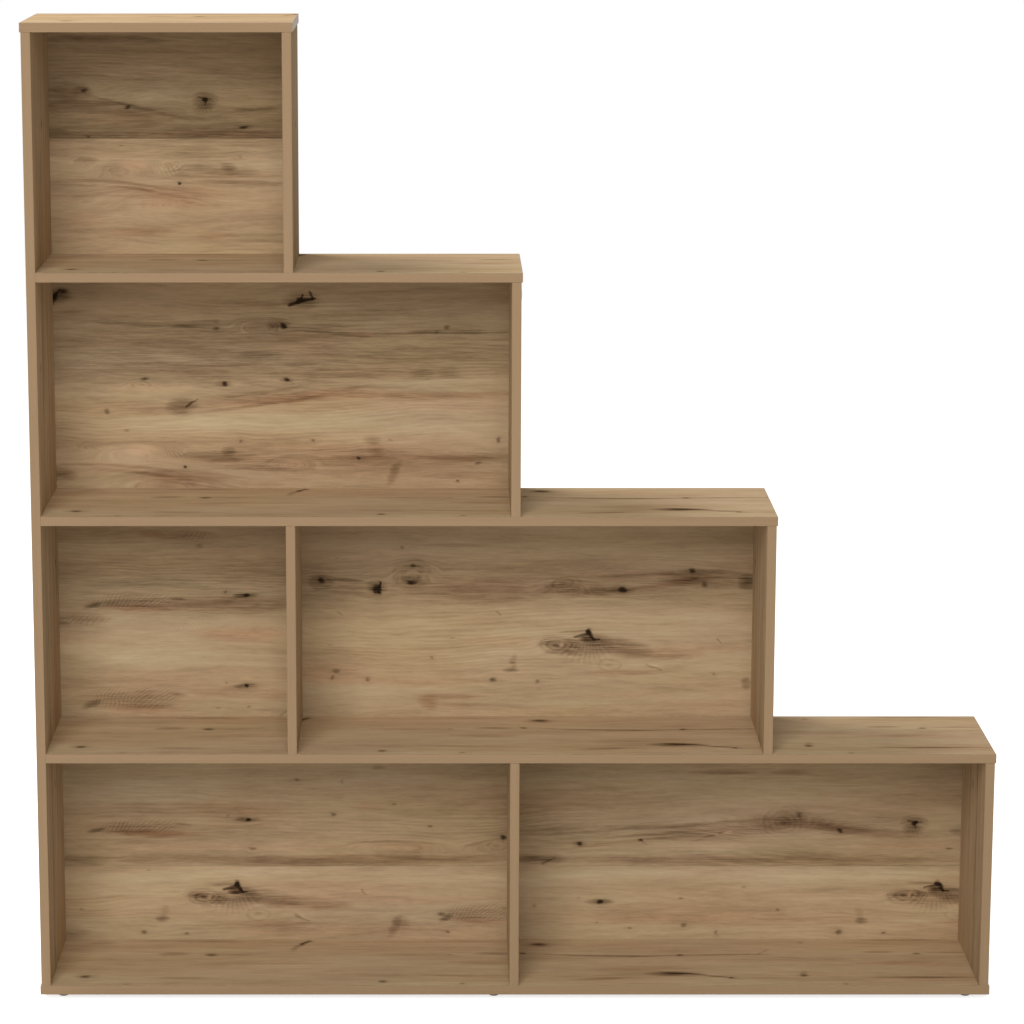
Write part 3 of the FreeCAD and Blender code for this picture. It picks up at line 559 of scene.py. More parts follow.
UPRIGHT_PRINT_AND_LIGHT = Decor(
    # Painted light: a broad pale cloud over the uprights, strongest some way in from the front, lightens the
    # walls that stand in the compartments' shade.
    Cloud(800, 170, 1600, 120, -0.06, 0),
    Cloud(400, 76, 448, 4.6, 0.22, 0.4, -0.005),
    Cloud(1190, 77, 459.2, 4.6, 0.22, 0.4, 0.007),
    Cloud(800, 153, 896, 6, 0.18, 0.4, 0.004),
    Cloud(800, 118, 896, 4, 0.1, 0.4, 0.002),
    Cloud(800, 204, 896, 4, 0.12, 0.4, 0.002),
    Knot(330, 125, 8, 5, 0.45),
    Knot(690, 195, 9, 5, 0.5),
    Knot(1040, 50, 8, 5, 0.45),
    Knot(1420, 130, 9, 5, 0.5),
    Cloud(500, 175, 260, 16, 0.07, 0.5),
    Cloud(1250, 100, 300, 18, 0.06, 0.5),
)


# Writing node trees

MIDDLE = 0.5


class Graph:
    """Writes a node tree step by step: each method adds a node and returns the output that comes next."""

    def __init__(self, tree):
        self.tree = tree

    def node(self, kind, **settings):
        made = self.tree.nodes.new("ShaderNode" + kind)
        for name, value in settings.items():
            setattr(made, name, value)
        return made

    def feed(self, socket, value):
        if isinstance(value, bpy.types.NodeSocket):
            self.tree.links.new(value, socket)
        else:
            socket.default_value = value

    def fed(self, made, values):
        """The node, with its first inputs fed in order."""
        for socket, value in zip(made.inputs, values):
            self.feed(socket, value)
        return made

    def math(self, operation, *values, clamp=False):
        return self.fed(self.node("Math", operation=operation, use_clamp=clamp), values).outputs[0]

    def vector(self, operation, *values):
        made = self.fed(self.node("VectorMath", operation=operation), values)
        return made.outputs["Value" if operation in ("DOT_PRODUCT", "LENGTH") else "Vector"]

    def join(self, x, y, z=0.0):
        return self.fed(self.node("CombineXYZ"), (x, y, z)).outputs[0]

    def thrice(self, value):
        return self.join(value, value, value)

    def split(self, vector):
        return self.fed(self.node("SeparateXYZ"), (vector,)).outputs

    def channels(self, colour):
        return self.fed(self.node("SeparateColor"), (colour,)).outputs

    def scale(self, vector, factor):
        made = self.fed(self.node("VectorMath", operation="SCALE"), (vector,))
        self.feed(made.inputs["Scale"], factor)
        return made.outputs["Vector"]

    def noise_node(self, place, stretch, detail, roughness):
        made = self.node("TexNoise", noise_dimensions="3D")
        self.feed(made.inputs["Vector"], self.vector("MULTIPLY", place, stretch))
        made.inputs["Scale"].default_value = 1.0
        made.inputs["Detail"].default_value = detail
        made.inputs["Roughness"].default_value = roughness
        return made

    def noise(self, place, stretch, detail=2.0, roughness=0.5):
        """Soft noise from 0 to 1 that repeats about stretch times a metre in each direction."""
        return self.noise_node(place, stretch, detail, roughness).outputs["Fac"]

    def wave(self, place, stretch, detail=2.0, roughness=0.5):
        """The same noise, about zero."""
        return self.math("SUBTRACT", self.noise(place, stretch, detail, roughness), MIDDLE)

    def jitter(self, place, stretch, reach, detail=2.0, roughness=0.5):
        """The place moved by noise, each way by up to about half of reach."""
        parts = self.channels(self.noise_node(place, stretch, detail, roughness).outputs["Color"])
        shake = self.vector("SUBTRACT", self.join(parts[0], parts[1]), (MIDDLE, MIDDLE, 0.0))
        return self.vector("MULTIPLY_ADD", shake, reach, place)

    def fade(self, value, start, end, low=0.0, high=1.0):
        """low up to start, high from end on, and a smooth step between."""
        made = self.node("MapRange", interpolation_type="SMOOTHSTEP")
        for name, entry in zip(("Value", "From Min", "From Max", "To Min", "To Max"),
                               (value, start, end, low, high)):
            self.feed(made.inputs[name], entry)
        return made.outputs[0]

    def ramp(self, value, stops):
        """A colour for each tone, from (tone, colour) stops."""
        made = self.fed(self.node("ValToRGB"), (value,))
        elements = made.color_ramp.elements
        while len(elements) < len(stops):
            elements.new(MIDDLE)
        for element, (place, colour) in zip(elements, stops):
            element.position = place
            element.color = (*colour, 1.0)
        return made.outputs[0]

    def mix(self, share, first, second):
        """Two colours mixed. The node has each name once for every kind of value: sockets go by number."""
        first_colour, second_colour, mixed_colour = 6, 7, 2
        made = self.fed(self.node("Mix", data_type="RGBA"), (share,))
        for index, value in ((first_colour, first), (second_colour, second)):
            linked = isinstance(value, bpy.types.NodeSocket)
            self.feed(made.inputs[index], value if linked else (*value, 1.0))
        return made.outputs[mixed_colour]

    def emboss(self, shader, height, strength, distance):
        """Feeds the shader's normal from a height."""
        made = self.node("Bump")
        made.inputs["Strength"].default_value = strength
        made.inputs["Distance"].default_value = distance
        self.feed(made.inputs["Height"], height)
        self.feed(shader["Normal"], made.outputs[0])

    def call(self, group, **values):
        """Adds a group node and feeds its inputs, whose names are given with _ for each space."""
        made = self.node("Group")
        made.node_tree = group
        for name, value in values.items():
            self.feed(made.inputs[name.replace("_", " ").capitalize()], value)
        return made.outputs


def evenly(rate):
    return (rate, rate, rate)


def start_group(name, inputs, outputs):
    """An empty node group with those sockets, its graph, its inputs and its output node."""
    tree = bpy.data.node_groups.new(name, "ShaderNodeTree")
    for direction, entries in (("INPUT", inputs), ("OUTPUT", outputs)):
        for entry, kind in entries:
            tree.interface.new_socket(name=entry, in_out=direction, socket_type="NodeSocket" + kind)
    graph = Graph(tree)
    return tree, graph, tree.nodes.new("NodeGroupInput").outputs, tree.nodes.new("NodeGroupOutput").inputs


def start_material(name):
    """A material with only a Principled shader, the graph to add nodes with, and the shader's inputs."""
    material = bpy.data.materials.new(name)
    material.use_nodes = True
    graph = Graph(material.node_tree)
    return material, graph, material.node_tree.nodes["Principled BSDF"].inputs


# The marks as node groups. A group passes on what is chained through it, with its own marks added.

THREE_OVALS = [(entry, "Vector") for entry in (
    "Along", "Across", "Centres along", "Centres across", "Lengths", "Heights")]


def off_centres(g, given):
    """How far a place is from three centres, along and across."""
    return (g.vector("SUBTRACT", given["Along"], given["Centres along"]),
            g.vector("SUBTRACT", given["Across"], given["Centres across"]))


def oval_squares(g, given, off_along, off_across):
    """The square of the distance from three centres, as 1 on the rims of their ovals."""
    share_along = g.vector("DIVIDE", off_along, given["Lengths"])
    share_across = g.vector("DIVIDE", off_across, given["Heights"])
    square_along = g.vector("MULTIPLY", share_along, share_along)
    return g.vector("MULTIPLY_ADD", share_across, share_across, square_along)


def oval_cores(g, square):
    """1 in the middle of three ovals, and 0 from their rims on."""
    return g.vector("MAXIMUM", g.vector("SUBTRACT", evenly(1.0), square), evenly(0.0))


def add_to(g, given, out, entry, weights, by):
    """Chains a value on, with three weights added to it."""
    g.feed(out[entry], g.math("ADD", given[entry], g.vector("DOT_PRODUCT", weights, given[by])))


def clouds_group(name):
    """Three soft clouds at once, which darken and warm the print; a few pale ones are painted light. Tilt
    and bow bend them off the grain.
    """
    tree, g, given, out = start_group(
        name,
        THREE_OVALS + [("Tilts", "Vector"), ("Bows", "Vector"), ("Depths", "Vector"), ("Warmths", "Vector"),
                       ("Dark", "Float"), ("Warm", "Float")],
        [("Dark", "Float"), ("Warm", "Float")])
    off_along, off_across = off_centres(g, given)
    slope = g.vector("MULTIPLY_ADD", off_along, given["Bows"], given["Tilts"])
    off_across = g.vector("SUBTRACT", off_across, g.vector("MULTIPLY", off_along, slope))
    core = oval_cores(g, oval_squares(g, given, off_along, off_across))
    add_to(g, given, out, "Dark", core, "Depths")
    add_to(g, given, out, "Warm", core, "Warmths")
    return tree


def knots_group(name):
    """Three knots at once, each soft out to a quarter past its rim. The grain bends round them."""
    rim_share, reach_share, halo, push_share = 0.62, 0.12, 0.16, 0.5
    tree, g, given, out = start_group(
        name, THREE_OVALS + [("Depths", "Vector"), ("Dark", "Float"), ("Bend", "Float")],
        [("Dark", "Float"), ("Bend", "Float")])
    off_along, off_across = off_centres(g, given)
    square = oval_squares(g, given, off_along, off_across)
    core = oval_cores(g, g.vector("MULTIPLY", square, evenly(rim_share)))
    wide = g.vector("MULTIPLY_ADD", square, evenly(reach_share), evenly(1.0))
    wide = g.vector("DIVIDE", evenly(1.0), wide)
    wide = g.vector("MULTIPLY", wide, wide)
    weights = g.vector("MULTIPLY_ADD", wide, evenly(halo), g.vector("MULTIPLY", core, core))
    add_to(g, given, out, "Dark", weights, "Depths")
    push = g.vector("DOT_PRODUCT", off_across, wide)
    g.feed(out["Bend"], g.math("MULTIPLY_ADD", push, push_share, given["Bend"]))
    return tree


def hills_group(name):
    """Three hills at once: the grain rises over each, so that its lines close round the hill's middle."""
    tree, g, given, out = start_group(
        name, THREE_OVALS + [("Lifts", "Vector"), ("Bend", "Float")], [("Bend", "Float")])
    core = oval_cores(g, oval_squares(g, given, *off_centres(g, given)))
    add_to(g, given, out, "Bend", g.vector("MULTIPLY", core, core), "Lifts")
    return tree


def crack_group(name):
    """A dark line from one place to another, narrowest at its far end."""
    taper, soft_edge = -0.5, 1.2
    tree, g, given, out = start_group(
        name,
        [("Place", "Vector"), ("Dark", "Float"), ("Start", "Vector"), ("Reach", "Vector"),
         ("Reach squared", "Float"), ("Width", "Float"), ("Depth", "Float")],
        [("Dark", "Float")])
    off = g.vector("SUBTRACT", given["Place"], given["Start"])
    share = g.vector("DOT_PRODUCT", off, given["Reach"])
    share = g.math("DIVIDE", share, given["Reach squared"], clamp=True)
    apart = g.vector("LENGTH", g.vector("SUBTRACT", off, g.scale(given["Reach"], share)))
    width = g.math("MULTIPLY", given["Width"], g.math("MULTIPLY_ADD", share, taper, 1.0))
    strength = g.fade(g.math("DIVIDE", apart, width), 0.0, soft_edge, given["Depth"], 0.0)
    g.feed(out["Dark"], g.math("ADD", given["Dark"], strength))
    return tree


def start_figure(name, extra):
    """The start of a group that draws lines in an oval, with the place's shares of the oval's half sizes."""
    tree, g, given, out = start_group(
        name, [("Place", "Vector"), ("Dark", "Float"), ("Centre", "Vector"), ("Size", "Vector"), *extra,
               ("Depth", "Float")], [("Dark", "Float")])
    off = g.vector("SUBTRACT", given["Place"], given["Centre"])
    return tree, g, given, out, off, g.vector("DIVIDE", off, given["Size"])


def end_figure(g, given, out, line, radius, fade_start=0.5, fade_end=1.0):
    """Chains the darkness on, with the lines added, which fade towards the oval's rim."""
    mask = g.fade(radius, fade_start, fade_end, given["Depth"], 0.0)
    g.feed(out["Dark"], g.math("MULTIPLY_ADD", line, mask, given["Dark"]))


def rings_group(name):
    """Oval growth rings round a place, strongest at their middle."""
    palest = -0.25
    tree, g, given, out, off, share = start_figure(name, [("Count", "Float")])
    radius = g.vector("LENGTH", share)
    wave = g.math("SINE", g.math("MULTIPLY", radius, g.math("MULTIPLY", given["Count"], 2 * pi)))
    end_figure(g, given, out, g.math("MAXIMUM", wave, palest), radius, fade_start=0.55, fade_end=1.05)
    return tree


def ripple_group(name):
    """Curved ripples that cross the grain inside an oval."""
    bow = 2.2
    tree, g, given, out, off, share = start_figure(name, [("Rate", "Vector")])
    height = g.split(share)["Y"]
    curve = g.math("MULTIPLY", height, g.math("MULTIPLY", height, bow))
    wave = g.math("SINE", g.math("ADD", g.vector("DOT_PRODUCT", off, given["Rate"]), curve))
    end_figure(g, given, out, wave, g.vector("LENGTH", share))
    return tree


def fan_group(name):
    """Rays that fan out from a place, seen inside an oval."""
    tree, g, given, out, off, share = start_figure(name, [("Source", "Vector"), ("Count", "Float")])
    ray = g.split(g.vector("SUBTRACT", given["Place"], given["Source"]))
    wave = g.math("SINE", g.math("MULTIPLY", g.math("ARCTAN2", ray["Y"], ray["X"]), given["Count"]))
    end_figure(g, given, out, wave, g.vector("LENGTH", share))
    return tree


# Noise of the plain grain, from bands to threads: repeats a metre, detail, roughness, and weight in the tone
GRAIN_NOISE = (
    ((3.0, 30.0, 1.0), 2.0, 0.6, 0.38),
    ((14.0, 150.0, 1.0), 3.0, 0.65, 0.30),
    ((48.0, 560.0, 1.0), 2.0, 0.6, 0.18),
)


def grain_group(name):
    """The print's plain grain: its tone and warmth away from any mark."""
    drift_rate, dash_rate = (2.6, 11.0, 1.0), (46.0, 900.0, 1.0)
    figure_rate, warm_rate = (2.0, 12.0, 1.0), (2.2, 19.0, 1.7)
    drift_reach, band_warmth, warm_range = 0.026, -2.0, 3.0
    dash_depth, ring_depth, ring_rate, ring_drift = -0.05, 0.030, 900.0, 34.0
    tree, g, given, out = start_group(
        name, [("Along", "Float"), ("Across", "Float"), ("Sheet", "Float")],
        [("Tone", "Float"), ("Warm", "Float"), ("Yellow", "Float")])
    flat = g.join(given["Along"], given["Across"], given["Sheet"])
    drift = g.wave(flat, drift_rate)
    across = g.math("MULTIPLY_ADD", drift, drift_reach, given["Across"])
    place = g.join(given["Along"], across, given["Sheet"])
    waves = [g.wave(place, stretch, detail, roughness) for stretch, detail, roughness, weight in GRAIN_NOISE]
    dash = g.fade(g.noise(place, dash_rate, detail=1.0), 0.60, 0.74)
    ring = g.math("SINE", g.math("MULTIPLY_ADD", drift, ring_drift, g.math("MULTIPLY", across, ring_rate)))
    figure = g.fade(g.noise(flat, figure_rate, detail=1.0), 0.46, 0.66)
    tone = g.math("MULTIPLY", g.math("MULTIPLY", ring, figure), ring_depth)
    tone = g.math("MULTIPLY_ADD", dash, dash_depth, tone)
    for wave, (stretch, detail, roughness, weight) in zip(waves, GRAIN_NOISE):
        tone = g.math("MULTIPLY_ADD", wave, weight, tone)
    g.feed(out["Tone"], tone)
    warm = g.math("MULTIPLY", g.wave(flat, warm_rate), warm_range)
    g.feed(out["Warm"], g.math("MULTIPLY_ADD", waves[0], band_warmth, warm))
    g.feed(out["Yellow"], drift)
    return tree


# The whole print

GROUPS = {
    "Three clouds": clouds_group,
    "Three knots": knots_group,
    "Three hills": hills_group,
    "Crack": crack_group,
    "Rings": rings_group,
    "Ripple": ripple_group,
    "Fan": fan_group,
    "Oak grain": grain_group,
}
HEART_TONE, SHADE_TONE, PLAIN_TONE = 0.22, 0.46, 0.70
WARM_TINT = (0.035, -0.014, -0.020)
YELLOW_TINT = (0.0, 0.0, -0.22)
SPARE_PLACE = -9.0        # metres: far off every board
SPARE_SIZE = 0.001
PLANK_SHIFT = 3.7         # metres along the grain, from one plank's print to the next's
SEAM_UP = 0.001           # metres from a joint up to the middle of its seam
SEAM_CORE, SEAM_EDGE = 0.0005, 0.0022
SHEET_APART = 2.3         # between the back panels' sheets of noise
LYING_SHEET, UPRIGHT_SHEET = 0.7, 5.1
FINE_SHAKE = {"stretch": (34.0, 120.0, 1.0), "reach": (0.010, 0.005, 0.0), "roughness": 0.6}
BROAD_SHAKE = {"stretch": (7.0, 24.0, 1.0), "reach": (0.016, 0.010, 0.0), "detail": 1.0}
STREAKS = {"stretch": (14.0, 330.0, 1.0), "detail": 3.0, "roughness": 0.65}
LEAST_STREAK, MOST_STREAK = 0.65, 1.35
PATCH_RATE = (60.0, 110.0, 1.0)
LEAST_FIGURE, MOST_FIGURE = 0.35, 1.2

# How a print lies on a board: the directions along and across its grain, the board's low corner in them, the
# one that the printed faces look in, whether both are printed, its sheet of noise, and what colours the rest
Layout = namedtuple("Layout", "along across corner facing both sheet raw")


def spare_oval(kind):
    """An oval of that kind that shows nowhere, to fill up a group of three."""
    return kind(**{**dict.fromkeys(kind._fields, 0.0), "along": SPARE_PLACE, "up": SPARE_PLACE,
                   "length": SPARE_SIZE, "height": SPARE_SIZE})


class Print:
    """The oak print: its node groups, and the way that they are chained on a board."""

    def __init__(self, settings):
        self.settings = settings
        self.groups = {name: bpy.data.node_groups.get(name) or write(name) for name, write in GROUPS.items()}

    def add_ovals(self, g, group, marks, rough, chained, strength=1.0, **settings):
        """Chains groups of three ovals. Each setting names a group's input and the mark's value for it."""
        for first in range(0, len(marks), 3):
            trio = (marks[first:first + 3] + 2 * [spare_oval(type(marks[first]))])[:3]
            values = {entry: [strength * getattr(mark, value) for mark in trio]
                      for entry, value in settings.items()}
            made = g.call(
                self.groups[group], along=rough[0], across=rough[1],
                centres_along=[mark.along for mark in trio], centres_across=[mark.up for mark in trio],
                lengths=[mark.length for mark in trio], heights=[mark.height for mark in trio],
                **values, **chained)
            chained = {entry: made[entry.capitalize()] for entry in chained}
        return chained

    def add_cracks(self, g, decor, place, dark):
        for mark in decor.of(Crack):
            reach = Vector((mark.to_along - mark.along, mark.to_up - mark.up, 0.0))
            dark = g.call(
                self.groups["Crack"], place=place, dark=dark, start=(mark.along, mark.up, 0.0), reach=reach,
                reach_squared=reach.length_squared, width=mark.width,
                depth=mark.depth * self.settings.knot_strength)["Dark"]
        return dark

    def add_figure(self, g, decor, place):
        """Chains the rings, ripples and fans."""
        figure = 0.0
        for kind in (Rings, Ripple, Fan):
            for mark in decor.of(kind):
                extra = {}
                if kind is Ripple:
                    rate = 2 * pi / mark.spacing
                    extra["rate"] = (rate * sin(mark.lean), rate * cos(mark.lean), 0.0)
                else:
                    extra["count"] = mark.count
                if kind is Fan:
                    extra["source"] = (mark.from_along, mark.from_up, 0.0)
                figure = g.call(
                    self.groups[kind.__name__], place=place, dark=figure, centre=(mark.along, mark.up, 0.0),
                    size=(mark.length, mark.height, 1.0), depth=mark.depth, **extra)["Dark"]
        return figure

    def add_planks(self, g, decor, along, across, dark):
        """Sets off the plank above each joint by its tone, its grain and a seam."""
        for plank in decor.of(Plank):
            above = g.math("GREATER_THAN", across, plank.joint_up)
            along = g.math("MULTIPLY_ADD", above, PLANK_SHIFT, along)
            dark = g.math("MULTIPLY_ADD", above, -plank.tone_above, dark)
            apart = g.math("ABSOLUTE", g.math("SUBTRACT", across, plank.joint_up + SEAM_UP))
            dark = g.math("ADD", dark, g.fade(apart, SEAM_CORE, SEAM_EDGE, plank.seam_depth, 0.0))
        return along, dark

    def colour(self, g, along, across, decor, sheet):
        """The print's colour at a place on the board, with the painted light that some of its clouds add."""
        settings = self.settings
        flat = g.join(along, across)
        place = g.jitter(g.jitter(flat, **FINE_SHAKE), **BROAD_SHAKE)
        parts = g.split(place)
        rough = (g.thrice(parts["X"]), g.thrice(parts["Y"]))
        clouds = self.add_ovals(g, "Three clouds", decor.of(Cloud), rough, {"dark": 0.0, "warm": 0.0},
                                depths="depth", warmths="warmth", tilts="tilt", bows="bow")
        streaks = g.fade(g.noise(flat, **STREAKS), 0.30, 0.68, low=LEAST_STREAK * settings.cloud_strength,
                         high=MOST_STREAK * settings.cloud_strength)
        dark = g.math("MULTIPLY", clouds["dark"], streaks)
        knots = self.add_ovals(g, "Three knots", decor.of(Knot), rough, {"dark": dark, "bend": 0.0},
                               settings.knot_strength, depths="depth")
        bend = self.add_ovals(g, "Three hills", decor.of(Hill), rough, {"bend": knots["bend"]},
                              lifts="lift")["bend"]
        dark = self.add_cracks(g, decor, place, knots["dark"])
        patch = g.fade(g.noise(flat, PATCH_RATE), 0.30, 0.62, low=LEAST_FIGURE, high=MOST_FIGURE)
        dark = g.math("MULTIPLY_ADD", self.add_figure(g, decor, place), patch, dark)
        grain_along, dark = self.add_planks(g, decor, along, across, dark)
        grain = g.call(self.groups["Oak grain"], along=grain_along, across=g.math("SUBTRACT", across, bend),
                       sheet=sheet)
        tone = g.math("MULTIPLY_ADD", grain["Tone"], settings.grain_contrast, PLAIN_TONE)
        tone = g.math("SUBTRACT", tone, dark, clamp=True)
        colour = g.ramp(tone, (
            (0.0, settings.knot_colour), (HEART_TONE, settings.heart_colour),
            (SHADE_TONE, settings.shade_colour), (PLAIN_TONE, settings.oak_colour),
            (1.0, settings.pale_colour)))
        warm = g.math("MULTIPLY", g.math("ADD", clouds["warm"], grain["Warm"]), settings.warmth)
        tint = g.vector("MULTIPLY_ADD", g.thrice(warm), WARM_TINT, evenly(1.0))
        tint = g.vector("MULTIPLY_ADD", g.thrice(grain["Yellow"]), YELLOW_TINT, tint)
        return g.vector("MULTIPLY", colour, tint)

    def material(self, name, decor, layout):
        """A board with the print on its faces and its core bare elsewhere."""
        settings = self.settings
        sheen_rate, pore_rate = (14.0, 300.0, 1.0), (40.0, 900.0, 1.0)
        gloss_range, bare_roughness, pore_depth = 0.14, 0.9, 0.0002
        material, g, shader = start_material(name)
        place = g.node("TexCoord").outputs["Object"]
        parts = g.split(place)
        along = g.math("SUBTRACT", parts[layout.along], layout.corner[0])
        across = g.math("SUBTRACT", parts[layout.across], layout.corner[1])
        printed = faces_seen(g, layout.facing, layout.both)
        g.feed(shader["Base Color"], g.mix(printed, layout.raw(g, place, settings),
                                           self.colour(g, along, across, decor, layout.sheet)))
        flat = g.join(along, across, layout.sheet)
        sheen = g.noise(flat, sheen_rate)
        roughness = g.math("MULTIPLY_ADD", sheen, gloss_range, settings.roughness - gloss_range / 2)
        g.feed(shader["Roughness"], g.math(
            "MULTIPLY_ADD", printed, g.math("SUBTRACT", roughness, bare_roughness), bare_roughness))
        shader["Specular IOR Level"].default_value = settings.gloss
        g.emboss(shader, g.noise(flat, pore_rate, roughness=0.6), settings.relief, pore_depth)
        return material


def faces_seen(g, axis, both):
    """1 on the faces that look along the axis, both of them or only the low one, and 0 on the others."""
    straight = 0.5
    normal = g.split(g.node("TexCoord").outputs["Normal"])[axis]
    looks = g.math("ABSOLUTE", normal) if both else g.math("MULTIPLY", normal, -1.0)
    return g.math("GREATER_THAN", looks, straight)


def chipboard_colour(g, place, settings):
    """Bare chipboard: pale and dark flakes pressed together."""
    flake_rate, speck_rate = (260.0, 700.0, 700.0), 900.0
    flakes = g.node("TexVoronoi", voronoi_dimensions="3D", feature="F1")
    g.feed(flakes.inputs["Vector"], g.vector("MULTIPLY", place, flake_rate))
    flakes.inputs["Scale"].default_value = 1.0
    shade = g.channels(flakes.outputs["Color"])[0]
    share = g.math("MULTIPLY", shade, g.noise(place, evenly(speck_rate)))
    return g.mix(share, settings.chip_colour, settings.chip_dark_colour)


def hardboard_colour(g, place, settings):
    """The bare back of hardboard: brown, with short pressed fibres."""
    fibre_rate, cloud_rate, least = (420.0, 420.0, 1100.0), 9.0, 0.4
    fibre = g.noise(place, fibre_rate, detail=3.0, roughness=0.65)
    share = g.math("MULTIPLY", fibre, g.math("ADD", g.noise(place, evenly(cloud_rate)), least))
    return g.mix(share, settings.hardboard_colour, settings.hardboard_dark_colour)


# The other finishes

FINE_RELIEF = 0.0001        # metres


def edging_material(name, settings, along_axis, across_axis):
    """Plain edging: one oak tone with faint streaks along the strip."""
    streak_rate, band_rate = (7.0, 520.0, 1.0), (1.6, 90.0, 1.0)
    band_share, plain_share, end_on, sheet = 0.6, 0.5, 0.7, 0.3
    roughness_range, depth = 0.1, 0.25
    material, g, shader = start_material(name)
    coordinates = g.node("TexCoord").outputs
    parts = g.split(coordinates["Object"])
    along = parts[along_axis]
    if along_axis == "X":
        facing = g.split(coordinates["Normal"])
        ends = g.math("GREATER_THAN", g.math("ABSOLUTE", facing["X"]), end_on)
        along = g.math("MULTIPLY_ADD", ends, g.math("SUBTRACT", parts["Y"], parts["X"]), parts["X"])
    place = g.join(along, parts[across_axis], sheet)
    streak = g.noise(place, streak_rate, detail=3.0, roughness=0.6)
    band = g.noise(place, band_rate, detail=1.0)
    both = g.math("ADD", streak, g.math("MULTIPLY", band, band_share))
    share = g.math("MULTIPLY_ADD", both, settings.streaks,
                   plain_share - (plain_share + band_share / 2) * settings.streaks, clamp=True)
    g.feed(shader["Base Color"], g.mix(share, settings.dark_colour, settings.light_colour))
    g.feed(shader["Roughness"], g.math("MULTIPLY_ADD", streak, roughness_range,
                                       settings.roughness - roughness_range / 2))
    shader["Specular IOR Level"].default_value = settings.gloss
    g.emboss(shader, streak, depth, FINE_RELIEF)
    return material


def moulded_material(name, light, dark, roughness):
    """Moulded plastic with a fine even grain."""
    grain_rate, cloud_rate = 2400.0, 120.0
    roughness_range, roughness_below, gloss, depth = 0.15, 0.07, 0.4, 0.3
    material, g, shader = start_material(name)
    place = g.node("TexCoord").outputs["Object"]
    grain = g.noise(place, evenly(grain_rate))
    cloud = g.noise(place, evenly(cloud_rate), detail=1.0)
    share = g.math("MULTIPLY", g.math("ADD", grain, cloud), MIDDLE)
    g.feed(shader["Base Color"], g.mix(share, dark, light))
    g.feed(shader["Roughness"], g.math("MULTIPLY_ADD", grain, roughness_range, roughness - roughness_below))
    shader["Specular IOR Level"].default_value = gloss
    g.emboss(shader, grain, depth, FINE_RELIEF)
    return material


def metal_material(name, light, dark, roughness, depth):
    """Zinc: a cloudy metal, with a grain of that depth."""
    cloud_rate, grain_rate, roughness_range = 260.0, 1500.0, 0.2
    material, g, shader = start_material(name)
    place = g.node("TexCoord").outputs["Object"]
    cloud = g.noise(place, evenly(cloud_rate))
    g.feed(shader["Base Color"], g.mix(cloud, dark, light))
    g.feed(shader["Roughness"], g.math("MULTIPLY_ADD", cloud, roughness_range,
                                       roughness - roughness_range / 2))
    shader["Metallic"].default_value = 1.0
    g.emboss(shader, g.noise(place, evenly(grain_rate)), depth, FINE_RELIEF)
    return material


def dowel_material(settings):
    """Turned beech, with short flecks along the dowel."""
    fleck_rate, roughness_range, least = (700.0, 700.0, 90.0), 0.2, 0.55
    material, g, shader = start_material("Beech")
    fleck = g.noise(g.node("TexCoord").outputs["Object"], fleck_rate)
    g.feed(shader["Base Color"], g.mix(fleck, settings.dowel_dark_colour, settings.dowel_colour))
    g.feed(shader["Roughness"], g.math("MULTIPLY_ADD", fleck, roughness_range, least))
    return material


def finish_node(name, material):
    """Puts a material on a CAD node."""
    data = nodes[name].data
    if not data.materials:
        data.materials.append(material)
    for slot in nodes[name].material_slots:
        slot.material = material


# What a user can set


def colour_setting(name, description, red, green, blue):
    return FloatVectorProperty(name=name, description=description, subtype="COLOR", size=3, min=0.0, max=1.0,
                               default=screen(red, green, blue))


def share_setting(name, description, default, most=1.0):
    return FloatProperty(name=name, description=description, default=default, min=0.0, max=most,
                         subtype="FACTOR" if most == 1.0 else "NONE")


def plain_setting(name, description, default, **more):
    return FloatProperty(name=name, description=description, default=default, **more)


def place_setting(name, description, default):
    return FloatVectorProperty(name=name, description=description, default=default, subtype="TRANSLATION")


class CabinetBoards(bpy.types.PropertyGroup):
    """The printed boards and back panels."""

    oak_colour: colour_setting("Oak", "Plain tone of the print", 174, 149, 116)
    pale_colour: colour_setting("Pale oak", "Palest streaks of the print", 202, 178, 144)
    shade_colour: colour_setting("Shaded oak", "Dark bands of the print", 131, 110, 83)
    heart_colour: colour_setting("Heartwood", "Rings round the knots", 76, 60, 43)
    knot_colour: colour_setting("Knot", "Middle of the knots and cracks", 42, 33, 22)
    warmth: share_setting("Warmth", "How far red and olive patches part", 1.0, most=3.0)
    grain_contrast: share_setting("Grain contrast", "Strength of the plain grain", 1.0, most=3.0)
    cloud_strength: share_setting("Cloud strength", "How far bands and patches part", 1.08, most=3.0)
    knot_strength: share_setting("Knot strength", "How dark the knots and cracks are", 0.66, most=2.0)
    roughness: share_setting("Roughness", "Roughness of the printed faces", 0.45)
    gloss: share_setting("Gloss", "Specular level of the printed faces", 0.0)
    relief: share_setting("Relief", "Depth of the pressed pores", 0.25)
    chip_colour: colour_setting("Chipboard", "Pale flakes of the bare core", 196, 170, 130)
    chip_dark_colour: colour_setting("Dark chips", "Dark flakes of the bare core", 120, 92, 58)
    hardboard_colour: colour_setting("Hardboard", "Bare rear of the back panels", 166, 130, 90)
    hardboard_dark_colour: colour_setting("Hardboard fibres", "Dark fibres of the bare rear", 112, 82, 52)


class CabinetEdging(bpy.types.PropertyGroup):
    """The strips on the boards' front edges and free ends."""

    light_colour: colour_setting("Light streaks", "Light streaks of the strip", 154, 128, 97)
    dark_colour: colour_setting("Dark streaks", "Dark streaks of the strip", 136, 110, 81)
    streaks: share_setting("Streaks", "How strong the streaks are", 0.6)
    roughness: share_setting("Roughness", "Roughness of the strip", 0.38)
    gloss: share_setting("Gloss", "Specular level of the strip", 0.15)


